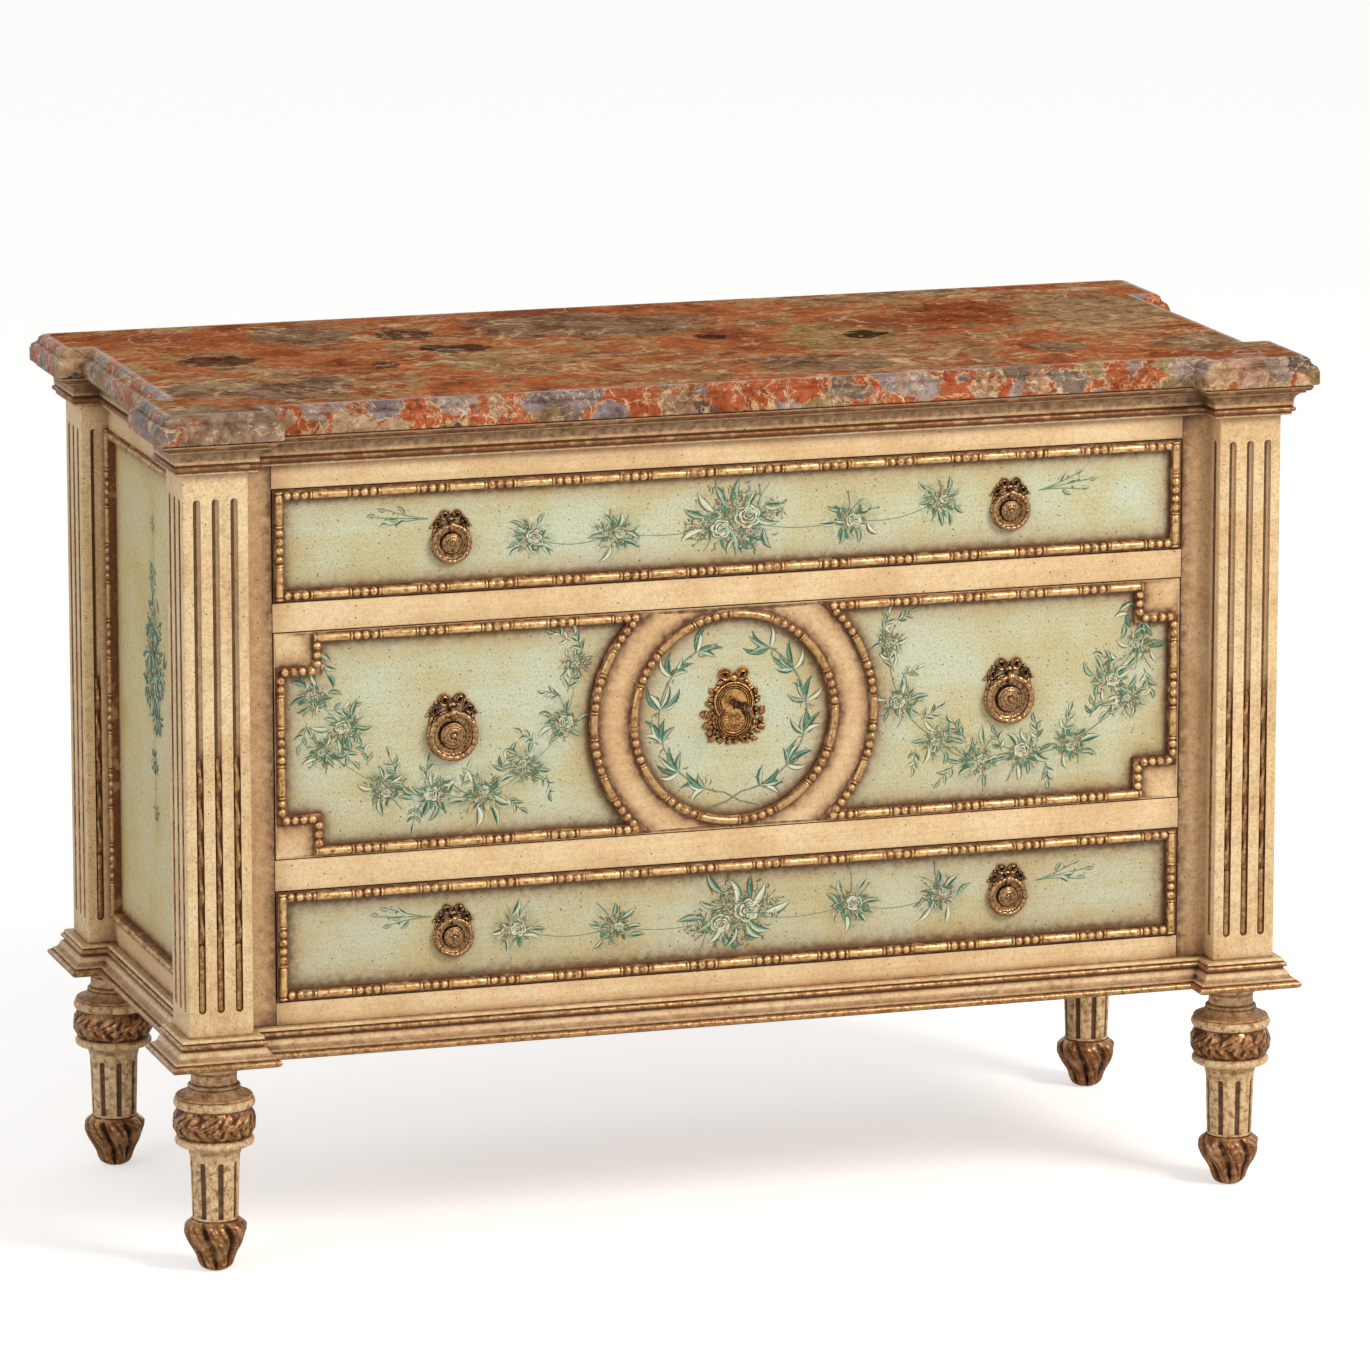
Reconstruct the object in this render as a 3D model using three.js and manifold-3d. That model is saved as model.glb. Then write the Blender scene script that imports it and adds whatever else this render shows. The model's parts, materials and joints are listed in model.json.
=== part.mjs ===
// A neoclassical commode chest: a painted carcass on turned legs under a marble top,
// with three drawers, ring pulls, and a lock in the middle drawer.
// Millimetres, +Z up, the front faces -Y, and the origin is on the floor under the middle.

import * as THREE from 'three';
import { mergeVertices } from 'three/addons/utils/BufferGeometryUtils.js';
import Module from 'manifold-3d';

const wasm = await Module();
wasm.setup();

// Carcass sizes
const caseWidth = 1220;
const caseDepth = 520;
const postWidth = 70;
const postProjection = 29;
const stileWidth = 32.5;
const railDepth = 40;
const legHeight = 229;
const legRadius = 44;
const tenonRadius = 12;
const tenonLength = 20;
const baseHeight = 32;
const baseOverhang = 24;
const corniceHeight = 35;
const corniceOverhang = 27;
const marbleThickness = 30;
const marbleOverhang = 33;
const marbleEdgeInset = 12;
const marbleCornerRadius = 6;
const backPanelThickness = 12;
const backPanelInset = 8;

// Heights up the front, from the base board to the cornice
const bottomRailHeight = 25;
const bottomOpeningHeight = 120.5;
const lowerRailHeight = 33.5;
const middleOpeningHeight = 244;
const upperRailHeight = 31.5;
const topOpeningHeight = 121;
const topRailHeight = 26.5;

// Flutes of the posts
const fluteWidth = 8;
const flutePitch = 20;
const fluteTopMargin = 28;
const fluteBottomMargin = 26;
const fluteFillShare = 0.5;
const fluteRodRadius = 3;

// Side frames and panels
const sideFrameThickness = 25;
const sideTopRail = 26;
const sideBottomRail = 25;
const sidePanelThickness = 12;
const sidePanelLip = 6;
const sidePanelTongue = 8;

// Mouldings of beads and reels, and the painted fields that they frame
const beadWidth = 11.5;
const beadProud = 6;
const fieldRecess = 5;
const medallionRadius = 119;
const arcRadius = 150.5;
const notchWidth = 40;
const notchHeight = 35;

// Drawers
const drawerFrontThickness = 22;
const drawerBackClearance = 31;
const drawerSideThickness = 12;
const drawerBackThickness = 12;
const drawerBottomThickness = 8;
const drawerBottomRaise = 10;
const drawerGrooveDepth = 5;
const drawerSideDrop = 9;
const drawerBackDrop = 6;
const drawerGap = 1;
const dustBoardThickness = 12;
const guideWidth = 20;
const guideHeight = 20;

// Ring pulls
const pullSpacing = 624;
const topPullDrop = 8;
const bottomPullDrop = 3;
const smallPullShare = 0.79;
const plateRadius = 28;
const plateThickness = 3;
const rosetteRadius = 14;
const rosetteHeight = 11;
const ringRadius = 24;
const ringTubeRadius = 3.6;
const ringClearance = 0.6;
const eyeWidth = 8;
const eyeWall = 2.2;
const bowThickness = 4;
const bowLoopRadius = 7.5;
const bowLoopX = 8.5;
const bowLoopZ = 38;
const bowKnotRadius = 5.5;
const bowKnotZ = 32;
const sideLoopRadius = 6.5;
const sideLoopX = 18.5;
const sideLoopZ = 27.5;
const tailRadius = 3.5;
const tailX = 27;
const tailZ = 14;

// Lock, escutcheon and key
const keyHoleRise = 16;
const keyStemRadius = 3;
const keySlotWidth = 3.8;
const keySlotLength = 10;
const keyReach = 56;
const keyCollarRadius = 5;
const keyCollarLength = 4;
const keyCollarOut = 14;
const keyBowLength = 27;
const keyBowHeight = 18;
const keyBowThickness = 4;
const keyBowBar = 3.5;
const keyBitLength = 8.5;
const keyBitWidth = 3;
const keyBitDepth = 6;
const keyEndClearance = 2;
const lockCaseWidth = 60;
const lockCaseHeight = 50;
const lockCaseDepth = 16;
const lockFloor = 4;
const lockPocketRadius = 10;
const boltWidth = 16;
const boltThickness = 5;
const boltBack = 4;
const boltThrow = 8;
const boltTopDrop = 1;
const mortiseClearance = 0.8;
const escutcheonThickness = 3;
const escutcheonFieldThickness = 5;
const escutcheonWidth = 76;
const escutcheonHeight = 62;
const escutcheonDrop = 16;
const escutcheonScallops = 13;
const escutcheonScallopShare = 0.07;
const upperFieldRadius = 24;
const lowerFieldRadius = 20;
const lowerFieldDrop = 21;
const escutcheonLoopRadius = 8;
const escutcheonLoopX = 9.5;
const escutcheonLoopZ = 30;

// Clearances and overrun
const fitGap = 0.3;
const overrun = 5;
const weldDistance = 0.001;

// Levels worked out from the heights above
const baseBottom = legHeight;
const baseTop = baseBottom + baseHeight;
const bottomOpening = baseTop + bottomRailHeight;
const lowerRail = bottomOpening + bottomOpeningHeight;
const middleOpening = lowerRail + lowerRailHeight;
const upperRail = middleOpening + middleOpeningHeight;
const topOpening = upperRail + upperRailHeight;
const topRail = topOpening + topOpeningHeight;
const postTop = topRail + topRailHeight;
const corniceTop = postTop + corniceHeight;

// Planes and centres worked out from the carcass
const halfWidth = caseWidth / 2;
const halfDepth = caseDepth / 2;
const frontPlane = -halfDepth + postProjection;
const sidePlane = halfWidth - postProjection;
const postX = halfWidth - postWidth / 2;
const postY = halfDepth - postWidth / 2;
const postInnerX = halfWidth - postWidth;
const postInnerY = halfDepth - postWidth;
const openingHalf = postInnerX - stileWidth;
const railBack = frontPlane + railDepth;
const backPanelFront = halfDepth - backPanelInset - backPanelThickness;
const drawerHalf = openingHalf - drawerGap;
const drawerFrontBack = frontPlane + drawerFrontThickness;
const drawerEnd = backPanelFront - drawerBackClearance;
const panelFace = frontPlane + fieldRecess;
const middleHeight = middleOpening + middleOpeningHeight / 2;

// Numbers of facets
const legSegments = 16;
const plateSegments = 16;
const ringSegments = 20;
const ringSides = 6;
const discSegments = 8;
const pinSegments = 12;
const arcSteps = 18;
const circleSteps = 40;
const cornerSteps = 3;
const beadSteps = 4;
const fluteCapSteps = 2;
const rodCapSteps = 1;

// Profiles: overhang or radius share first, then height share, from the bottom up
const baseProfileShares = [
  [0.84, 0], [0.96, 0.06], [1, 0.16], [0.95, 0.27], [0.86, 0.31], [0.7, 0.34], [0.53, 0.45],
  [0.42, 0.58], [0.38, 0.68], [0.42, 0.7], [0.5, 0.77], [0.51, 0.88], [0.45, 0.96], [0.34, 1],
];
const corniceProfileShares = [
  [0.33, 0], [0.33, 0.12], [0.44, 0.16], [0.52, 0.22], [0.52, 0.28], [0.45, 0.33], [0.4, 0.38],
  [0.41, 0.5], [0.47, 0.6], [0.58, 0.68], [0.74, 0.74], [0.78, 0.82], [0.96, 0.86], [1, 0.9], [1, 1],
];
const marbleProfileShares = [
  [0, 0], [0, 0.5], [0.08, 0.62], [0.26, 0.71], [0.48, 0.75], [0.52, 0.78], [0.58, 0.78],
  [0.62, 0.87], [0.76, 0.96], [1, 1],
];
const legProfileShares = [
  [0.2, 0], [0.33, 0.015], [0.41, 0.048], [0.48, 0.087], [0.57, 0.118], [0.68, 0.157],
  [0.71, 0.197], [0.64, 0.231], [0.54, 0.247], [0.585, 0.53], [0.61, 0.56], [0.7, 0.59],
  [0.92, 0.607], [0.92, 0.643], [1, 0.69], [1, 0.725], [0.95, 0.776], [0.97, 0.784],
  [0.97, 0.826], [0.86, 0.86], [0.62, 0.886], [0.56, 0.892], [0.56, 0.945], [0.64, 0.96],
  [0.64, 1],
];
const plateShares = [[1, 0], [1, 0.65], [0.96, 1], [0.62, 1]];
const rosetteShares = [[1, 0.4], [0.94, 0.58], [0.62, 0.8], [0.54, 0.68], [0.3, 1]];

// Finishes
function finish(colour, roughness, metalness) {
  return new THREE.MeshStandardMaterial({ color: colour, roughness, metalness });
}
const creamPaint = finish(0xe3c79b, 0.55, 0);
const greenPaint = finish(0xcfd6b4, 0.6, 0);
const gilding = finish(0xa87338, 0.4, 0.7);
const marble = finish(0xb5603c, 0.25, 0);
const bareWood = finish(0xb08b5e, 0.75, 0);
const bronze = finish(0x7c5534, 0.4, 0.9);
const iron = finish(0x3a2c26, 0.45, 0.9);

// A closed geometry as a solid that can be joined or cut, and back again
function solidOf(geometry) {
  const bare = geometry.clone();
  bare.deleteAttribute('normal');
  bare.deleteAttribute('uv');
  const merged = mergeVertices(bare, weldDistance);
  const vertProperties = new Float32Array(merged.attributes.position.array);
  const triVerts = new Uint32Array(merged.index.array);
  return new wasm.Manifold(new wasm.Mesh({ numProp: 3, vertProperties, triVerts }));
}

function geometryOf(solid) {
  const mesh = solid.getMesh();
  const geometry = new THREE.BufferGeometry();
  geometry.setAttribute('position', new THREE.BufferAttribute(mesh.vertProperties, mesh.numProp));
  geometry.setIndex(new THREE.BufferAttribute(mesh.triVerts, 1));
  geometry.computeVertexNormals();
  return geometry;
}

function joined(geometries) {
  return geometries.map(solidOf).reduce((whole, piece) => whole.add(piece));
}

function cutBy(geometry, cutters) {
  return geometryOf(solidOf(geometry).subtract(joined(cutters)));
}

// The radius of a faceted hole whose flats keep the fit gap to a round pin
function holeRadius(pinRadius) {
  return (pinRadius + fitGap) / Math.cos(Math.PI / pinSegments);
}

// A box between two opposite corners
function block(x0, x1, y0, y1, z0, z1) {
  const geometry = new THREE.BoxGeometry(x1 - x0, y1 - y0, z1 - z0);
  geometry.translate((x0 + x1) / 2, (y0 + y1) / 2, (z0 + z1) / 2);
  return geometry;
}

// An outline in x and z given depth along +Y, from its front face
function slabOf(points, front, depth) {
  const geometry = new THREE.ExtrudeGeometry(new THREE.Shape(points), { depth, bevelEnabled: false });
  geometry.rotateX(Math.PI / 2);
  geometry.translate(0, front + depth, 0);
  return geometry;
}

// A disc whose axis runs along Y, from its front face
function disc(x, front, z, radius, depth, segments) {
  const geometry = new THREE.CylinderGeometry(radius, radius, depth, segments);
  geometry.translate(x, front + depth / 2, z);
  return geometry;
}

// Outlines turn anticlockwise, and each corner moves out along its mitre
function offsetOutline(points, distance) {
  return points.map((point, index) => {
    const before = points[(index + points.length - 1) % points.length];
    const after = points[(index + 1) % points.length];
    const edgeIn = point.clone().sub(before).normalize();
    const edgeOut = after.clone().sub(point).normalize();
    const normalIn = new THREE.Vector2(edgeIn.y, -edgeIn.x);
    const normalOut = new THREE.Vector2(edgeOut.y, -edgeOut.x);
    const mitre = normalIn.clone().add(normalOut).divideScalar(1 + normalIn.dot(normalOut));
    return point.clone().addScaledVector(mitre, distance);
  });
}

function roundedOutline(points, radius) {
  const rounded = [];
  points.forEach((point, index) => {
    const before = points[(index + points.length - 1) % points.length];
    const after = points[(index + 1) % points.length];
    const toBefore = before.clone().sub(point).normalize();
    const toAfter = after.clone().sub(point).normalize();
    const outward = toAfter.x * toBefore.y - toAfter.y * toBefore.x;
    if (outward < 0) {
      rounded.push(point.clone());
      return;
    }
    const centre = point.clone().addScaledVector(toBefore, radius).addScaledVector(toAfter, radius);
    for (let step = 0; step <= cornerSteps; step += 1) {
      const turn = (step / cornerSteps) * Math.PI / 2;
      const spoke = toAfter.clone().multiplyScalar(-Math.cos(turn));
      spoke.addScaledVector(toBefore, -Math.sin(turn));
      rounded.push(centre.clone().addScaledVector(spoke, radius));
    }
  });
  return rounded;
}

// A solid whose rings of points are joined in order, with flat caps at both ends,
// or closed on itself when the last ring joins the first
function ringSolid(rings, closed) {
  const count = rings[0].length;
  const positions = rings.flat().flatMap((corner) => corner.toArray());
  const index = [];
  const spans = closed ? rings.length : rings.length - 1;
  for (let ring = 0; ring < spans; ring += 1) {
    const lower = ring * count;
    const upper = ((ring + 1) % rings.length) * count;
    for (let side = 0; side < count; side += 1) {
      const next = (side + 1) % count;
      index.push(lower + side, lower + next, upper + next);
      index.push(lower + side, upper + next, upper + side);
    }
  }
  const geometry = new THREE.BufferGeometry();
  geometry.setAttribute('position', new THREE.Float32BufferAttribute(positions, 3));
  if (!closed) {
    const flat = rings[0].map((corner) => new THREE.Vector2(corner.x, corner.y));
    const top = (rings.length - 1) * count;
    THREE.ShapeUtils.triangulateShape(flat, []).forEach(([a, b, c]) => {
      index.push(a, c, b);
      index.push(top + a, top + b, top + c);
    });
  }
  geometry.setIndex(index);
  return geometry;
}

// A board with a moulded edge: the outline grows by the profile's overhang at each height
function mouldedBoard(outline, bottom, profile) {
  const rings = profile.map(([overhang, height]) => (
    offsetOutline(outline, overhang).map((p) => new THREE.Vector3(p.x, p.y, bottom + height))
  ));
  return ringSolid(rings, false);
}

// A half-round moulding that stands on a face: it follows the outline, inside it
function beadMoulding(outline, placed) {
  const rings = [];
  for (let step = 0; step <= beadSteps; step += 1) {
    const turn = (step / beadSteps) * Math.PI;
    const inset = beadWidth / 2 * (1 - Math.cos(turn));
    rings.push(offsetOutline(outline, -inset).map((p) => placed(p, beadProud * Math.sin(turn))));
  }
  return ringSolid(rings, true);
}

// The breakfront plan: corner blocks stand out on the front and at both sides
function breakfrontOutline() {
  const corners = [
    [halfWidth, postInnerY], [halfWidth, halfDepth], [-halfWidth, halfDepth], [-halfWidth, postInnerY],
    [-sidePlane, postInnerY], [-sidePlane, -postInnerY], [-halfWidth, -postInnerY],
    [-halfWidth, -halfDepth], [-postInnerX, -halfDepth], [-postInnerX, frontPlane],
    [postInnerX, frontPlane], [postInnerX, -halfDepth], [halfWidth, -halfDepth],
    [halfWidth, -postInnerY], [sidePlane, -postInnerY], [sidePlane, postInnerY],
  ];
  return corners.map(([x, y]) => new THREE.Vector2(x, y));
}

function profileOf(shares, overhang, height) {
  return shares.map(([overhangShare, heightShare]) => [overhang * overhangShare, height * heightShare]);
}

// Marble top, cornice board and base board
function marbleTop() {
  const profile = marbleProfileShares.map(([insetShare, heightShare]) => (
    [marbleOverhang - marbleEdgeInset * insetShare, marbleThickness * heightShare]
  ));
  const moulded = mouldedBoard(breakfrontOutline(), corniceTop, profile);
  const plan = roundedOutline(offsetOutline(breakfrontOutline(), marbleOverhang), marbleCornerRadius);
  const rounded = new THREE.ExtrudeGeometry(
    new THREE.Shape(plan), { depth: marbleThickness, bevelEnabled: false },
  );
  rounded.translate(0, 0, corniceTop);
  return geometryOf(solidOf(moulded).intersect(solidOf(rounded)));
}

function corniceBoard() {
  const profile = profileOf(corniceProfileShares, corniceOverhang, corniceHeight);
  return mouldedBoard(breakfrontOutline(), postTop, profile);
}

function baseBoard() {
  const profile = profileOf(baseProfileShares, baseOverhang, baseHeight);
  const holes = postPlaces().map(({ x, y }) => {
    const depth = tenonLength + fitGap + overrun;
    const radius = holeRadius(tenonRadius);
    const hole = new THREE.CylinderGeometry(radius, radius, depth, pinSegments);
    hole.rotateX(Math.PI / 2);
    hole.translate(x, y, baseBottom - overrun + depth / 2);
    return hole;
  });
  return cutBy(mouldedBoard(breakfrontOutline(), baseBottom, profile), holes);
}

// Corner posts
function postPlaces() {
  return [
    { name: 'front_left', x: -postX, y: -postY },
    { name: 'front_right', x: postX, y: -postY },
    { name: 'back_left', x: -postX, y: postY },
    { name: 'back_right', x: postX, y: postY },
  ];
}

function uprightRod(x, y, bottom, top, radius, capSteps) {
  const rod = new THREE.CapsuleGeometry(radius, top - bottom - 2 * radius, capSteps, discSegments);
  rod.rotateX(Math.PI / 2);
  rod.translate(x, y, (bottom + top) / 2);
  return rod;
}

// Where the flutes run: the middle of each on its face, and the way that the face looks
function fluteLines(x, y) {
  const sideways = Math.sign(x);
  const forwards = Math.sign(y);
  const lines = [];
  for (const step of [-1, 0, 1]) {
    lines.push({ x: x + sideways * postWidth / 2, y: y + step * flutePitch, nx: sideways, ny: 0 });
    if (forwards < 0) {
      lines.push({ x: x + step * flutePitch, y: -halfDepth, nx: 0, ny: -1 });
    }
  }
  const sideReturn = halfWidth - postProjection / 2;
  lines.push({ x: sideways * sideReturn, y: forwards * postInnerY, nx: 0, ny: -forwards });
  if (forwards < 0) {
    const frontReturn = -halfDepth + postProjection / 2;
    lines.push({ x: sideways * postInnerX, y: frontReturn, nx: -sideways, ny: 0 });
  }
  return lines;
}

function cornerPost({ x, y }) {
  const half = postWidth / 2;
  let solid = solidOf(block(x - half, x + half, y - half, y + half, baseTop, postTop));
  if (y < 0) {
    const inner = Math.sign(x) * openingHalf;
    const outer = Math.sign(x) * (postInnerX + overrun);
    const stile = block(
      Math.min(inner, outer), Math.max(inner, outer), frontPlane, railBack, baseTop, postTop,
    );
    solid = solid.add(solidOf(stile));
  }
  const fluteBottom = baseTop + fluteBottomMargin;
  const fluteTop = postTop - fluteTopMargin;
  const fillTop = fluteBottom + (fluteTop - fluteBottom) * fluteFillShare;
  const lines = fluteLines(x, y);
  const flutes = lines.map((line) => (
    uprightRod(line.x, line.y, fluteBottom, fluteTop, fluteWidth / 2, fluteCapSteps)
  ));
  const rods = lines.map((line) => uprightRod(
    line.x - line.nx * fluteRodRadius,
    line.y - line.ny * fluteRodRadius,
    fluteBottom,
    fillTop,
    fluteRodRadius,
    rodCapSteps,
  ));
  return geometryOf(solid.subtract(joined(flutes)).add(joined(rods)));
}

// Turned legs with a round tenon on top
function turnedLeg({ x, y }) {
  const profile = [new THREE.Vector2(0, 0)];
  legProfileShares.forEach(([radiusShare, heightShare]) => {
    profile.push(new THREE.Vector2(legRadius * radiusShare, legHeight * heightShare));
  });
  profile.push(new THREE.Vector2(tenonRadius, legHeight));
  profile.push(new THREE.Vector2(tenonRadius, legHeight + tenonLength));
  profile.push(new THREE.Vector2(0, legHeight + tenonLength));
  const geometry = new THREE.LatheGeometry(profile, legSegments);
  geometry.rotateX(Math.PI / 2);
  geometry.translate(x, y, 0);
  return geometry;
}

// Front rails, and the mortise for the bolt in the one above the middle drawer
function frontRail(bottom, height) {
  return block(-openingHalf, openingHalf, frontPlane, railBack, bottom, bottom + height);
}

function upperRailWithMortise() {
  const half = boltWidth / 2 + mortiseClearance;
  const front = drawerFrontBack + boltBack - mortiseClearance;
  const back = drawerFrontBack + boltBack + boltThickness + mortiseClearance;
  const depth = boltThrow + mortiseClearance;
  const mortise = block(-half, half, front, back, upperRail - overrun, upperRail + depth);
  return cutBy(frontRail(upperRail, upperRailHeight), [mortise]);
}

// Side frames: rails and narrow stiles round the panel, with the moulding on their edge
function sideWindow(grow) {
  const reach = postInnerY - beadWidth + grow;
  return {
    y0: -reach,
    y1: reach,
    z0: baseTop + sideBottomRail + beadWidth - grow,
    z1: postTop - sideTopRail - beadWidth + grow,
  };
}

function sideFrame(side) {
  const inner = sidePlane - sideFrameThickness;
  const board = block(inner, sidePlane, -postInnerY, postInnerY, baseTop, postTop);
  const clear = sideWindow(0);
  const through = block(
    inner - overrun, sidePlane + overrun, clear.y0, clear.y1, clear.z0, clear.z1,
  );
  const seat = sideWindow(sidePanelTongue);
  const rebate = block(
    inner - overrun, sidePlane - sidePanelLip, seat.y0, seat.y1, seat.z0, seat.z1,
  );
  const edge = sideWindow(beadWidth);
  const outline = [[edge.y0, edge.z0], [edge.y1, edge.z0], [edge.y1, edge.z1], [edge.y0, edge.z1]];
  const moulding = beadMoulding(
    outline.map(([y, z]) => new THREE.Vector2(y, z)),
    (p, height) => new THREE.Vector3(sidePlane + height, p.x, p.y),
  );
  const frame = solidOf(board).subtract(joined([through, rebate])).add(solidOf(moulding));
  const geometry = geometryOf(frame);
  if (side < 0) {
    geometry.rotateZ(Math.PI);
  }
  return geometry;
}

function sidePanel(side) {
  const seat = sideWindow(sidePanelTongue - fitGap);
  const outer = sidePlane - sidePanelLip - fitGap;
  const panel = block(outer - sidePanelThickness, outer, seat.y0, seat.y1, seat.z0, seat.z1);
  if (side < 0) {
    panel.rotateZ(Math.PI);
  }
  return panel;
}

function backPanel() {
  const back = backPanelFront + backPanelThickness;
  return block(-postInnerX, postInnerX, backPanelFront, back, baseTop, postTop);
}

// Dust boards carry the drawers, and their side strips guide them
function dustBoard(top) {
  const board = block(-postInnerX, postInnerX, railBack, backPanelFront, top - dustBoardThickness, top);
  const guides = [-1, 1].map((side) => {
    const near = side * openingHalf;
    const far = side * (openingHalf + guideWidth);
    return block(
      Math.min(near, far), Math.max(near, far), railBack, postInnerY, top - overrun, top + guideHeight,
    );
  });
  return geometryOf(joined([board, ...guides]));
}

// Outlines on the front of a drawer, in x and z
function rectangleOutline(half, bottom, top) {
  return [[-half, bottom], [half, bottom], [half, top], [-half, top]].map(([x, z]) => (
    new THREE.Vector2(x, z)
  ));
}

function circleOutline(radius, centreZ) {
  const points = [];
  for (let step = 0; step < circleSteps; step += 1) {
    const turn = (step / circleSteps) * 2 * Math.PI;
    points.push(new THREE.Vector2(radius * Math.cos(turn), centreZ + radius * Math.sin(turn)));
  }
  return points;
}

// The field beside the medallion: notched outer corners, and an arc round the medallion
function fieldOutline(side) {
  const half = middleOpeningHeight / 2 - drawerGap;
  const notchX = drawerHalf - notchWidth;
  const notchZ = half - notchHeight;
  const points = [[notchX, -half], [notchX, -notchZ], [drawerHalf, -notchZ], [drawerHalf, notchZ]];
  points.push([notchX, notchZ], [notchX, half]);
  const tip = Math.asin(half / arcRadius);
  for (let step = 0; step <= arcSteps; step += 1) {
    const turn = tip - (step / arcSteps) * 2 * tip;
    points.push([arcRadius * Math.cos(turn), arcRadius * Math.sin(turn)]);
  }
  const outline = points.map(([x, z]) => new THREE.Vector2(side * x, middleHeight + z));
  return side > 0 ? outline : outline.reverse();
}

function frontBead(outline) {
  return beadMoulding(outline, (p, height) => new THREE.Vector3(p.x, frontPlane - height, p.y));
}

function drawerFront(bottom, height, outlines, holes) {
  const board = block(
    -drawerHalf, drawerHalf, frontPlane, drawerFrontBack, bottom + drawerGap, bottom + height - drawerGap,
  );
  const recesses = outlines.map((outline) => (
    slabOf(offsetOutline(outline, -beadWidth), frontPlane - overrun, fieldRecess + overrun)
  ));
  const groove = drawerBottom(bottom, fitGap);
  return cutBy(board, [...recesses, groove, ...holes]);
}

function drawerBottom(bottom, grow) {
  const half = drawerHalf - drawerSideThickness + drawerGrooveDepth - fitGap + grow;
  const low = bottom + fitGap + drawerBottomRaise;
  return block(
    -half, half,
    drawerFrontBack - drawerGrooveDepth + fitGap - grow, drawerEnd - drawerBackThickness - fitGap + grow,
    low - grow, low + drawerBottomThickness + grow,
  );
}

function drawerSide(bottom, height, side) {
  const outer = side * drawerHalf;
  const inner = side * (drawerHalf - drawerSideThickness);
  const board = block(
    Math.min(outer, inner), Math.max(outer, inner), drawerFrontBack, drawerEnd,
    bottom + fitGap, bottom + height - drawerSideDrop,
  );
  return cutBy(board, [drawerBottom(bottom, fitGap)]);
}

function drawerBack(bottom, height) {
  const half = drawerHalf - drawerSideThickness;
  return block(
    -half, half, drawerEnd - drawerBackThickness, drawerEnd,
    bottom + fitGap + drawerBottomRaise, bottom + height - drawerSideDrop - drawerBackDrop,
  );
}

// A ring pull: the plate with its rosette, eye and ribbon bow, and the ring through the eye.
// It is made at full size about the middle of its plate, and the pulls of the low drawers are smaller.
function placedPull(geometry, x, z, size) {
  geometry.translate(0, -panelFace, 0);
  geometry.scale(size, size, size);
  geometry.translate(x, panelFace, z);
  return geometry;
}

function turnedPlate() {
  const profile = [new THREE.Vector2(0, 0)];
  plateShares.forEach(([radiusShare, heightShare]) => {
    profile.push(new THREE.Vector2(plateRadius * radiusShare, plateThickness * heightShare));
  });
  rosetteShares.forEach(([radiusShare, heightShare]) => {
    profile.push(new THREE.Vector2(rosetteRadius * radiusShare, rosetteHeight * heightShare));
  });
  profile.push(new THREE.Vector2(0, rosetteHeight));
  const geometry = new THREE.LatheGeometry(profile, plateSegments);
  geometry.rotateX(Math.PI);
  geometry.translate(0, panelFace, 0);
  return geometry;
}

const ringPlane = panelFace - plateThickness - ringClearance - ringTubeRadius;

function acrossCylinder(x, y, z, radius, width) {
  const geometry = new THREE.CylinderGeometry(radius, radius, width, discSegments);
  geometry.rotateZ(Math.PI / 2);
  geometry.translate(x, y, z);
  return geometry;
}

function pullPlate(x, z, size) {
  const boreRadius = ringTubeRadius + 2 * ringClearance;
  const pieces = [
    turnedPlate(),
    acrossCylinder(0, ringPlane, ringRadius, boreRadius + eyeWall, eyeWidth),
  ];
  const bowFront = panelFace - bowThickness;
  pieces.push(disc(0, bowFront, bowKnotZ, bowKnotRadius, bowThickness, discSegments));
  for (const side of [-1, 1]) {
    const loops = [
      [bowLoopX, bowLoopZ, bowLoopRadius],
      [sideLoopX, sideLoopZ, sideLoopRadius],
      [tailX, tailZ, tailRadius],
    ];
    loops.forEach(([loopX, loopZ, radius]) => {
      pieces.push(disc(side * loopX, bowFront, loopZ, radius, bowThickness, discSegments));
    });
  }
  const bore = acrossCylinder(0, ringPlane, ringRadius, boreRadius, eyeWidth + overrun);
  return placedPull(geometryOf(joined(pieces).subtract(solidOf(bore))), x, z, size);
}

function pullRing(x, z, size) {
  const geometry = new THREE.TorusGeometry(ringRadius, ringTubeRadius, ringSides, ringSegments);
  geometry.rotateX(Math.PI / 2);
  geometry.translate(0, ringPlane, 0);
  return placedPull(geometry, x, z, size);
}

// The keyhole, through the front of the middle drawer and its escutcheon
const keyHeight = middleHeight + keyHoleRise;
const lockBack = drawerFrontBack + lockCaseDepth;
const pocketFloor = lockBack - lockFloor;
const boltBottom = keyHeight + lockPocketRadius + fitGap;
const boltTop = middleOpening + middleOpeningHeight - drawerGap - boltTopDrop;

function keyHoleCutters(front, back) {
  const depth = back - front + 2 * overrun;
  const round = disc(0, front - overrun, keyHeight, holeRadius(keyStemRadius), depth, pinSegments);
  const slot = block(
    -keySlotWidth / 2, keySlotWidth / 2, front - overrun, back + overrun,
    keyHeight - keySlotLength, keyHeight,
  );
  return [round, slot];
}

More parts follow.
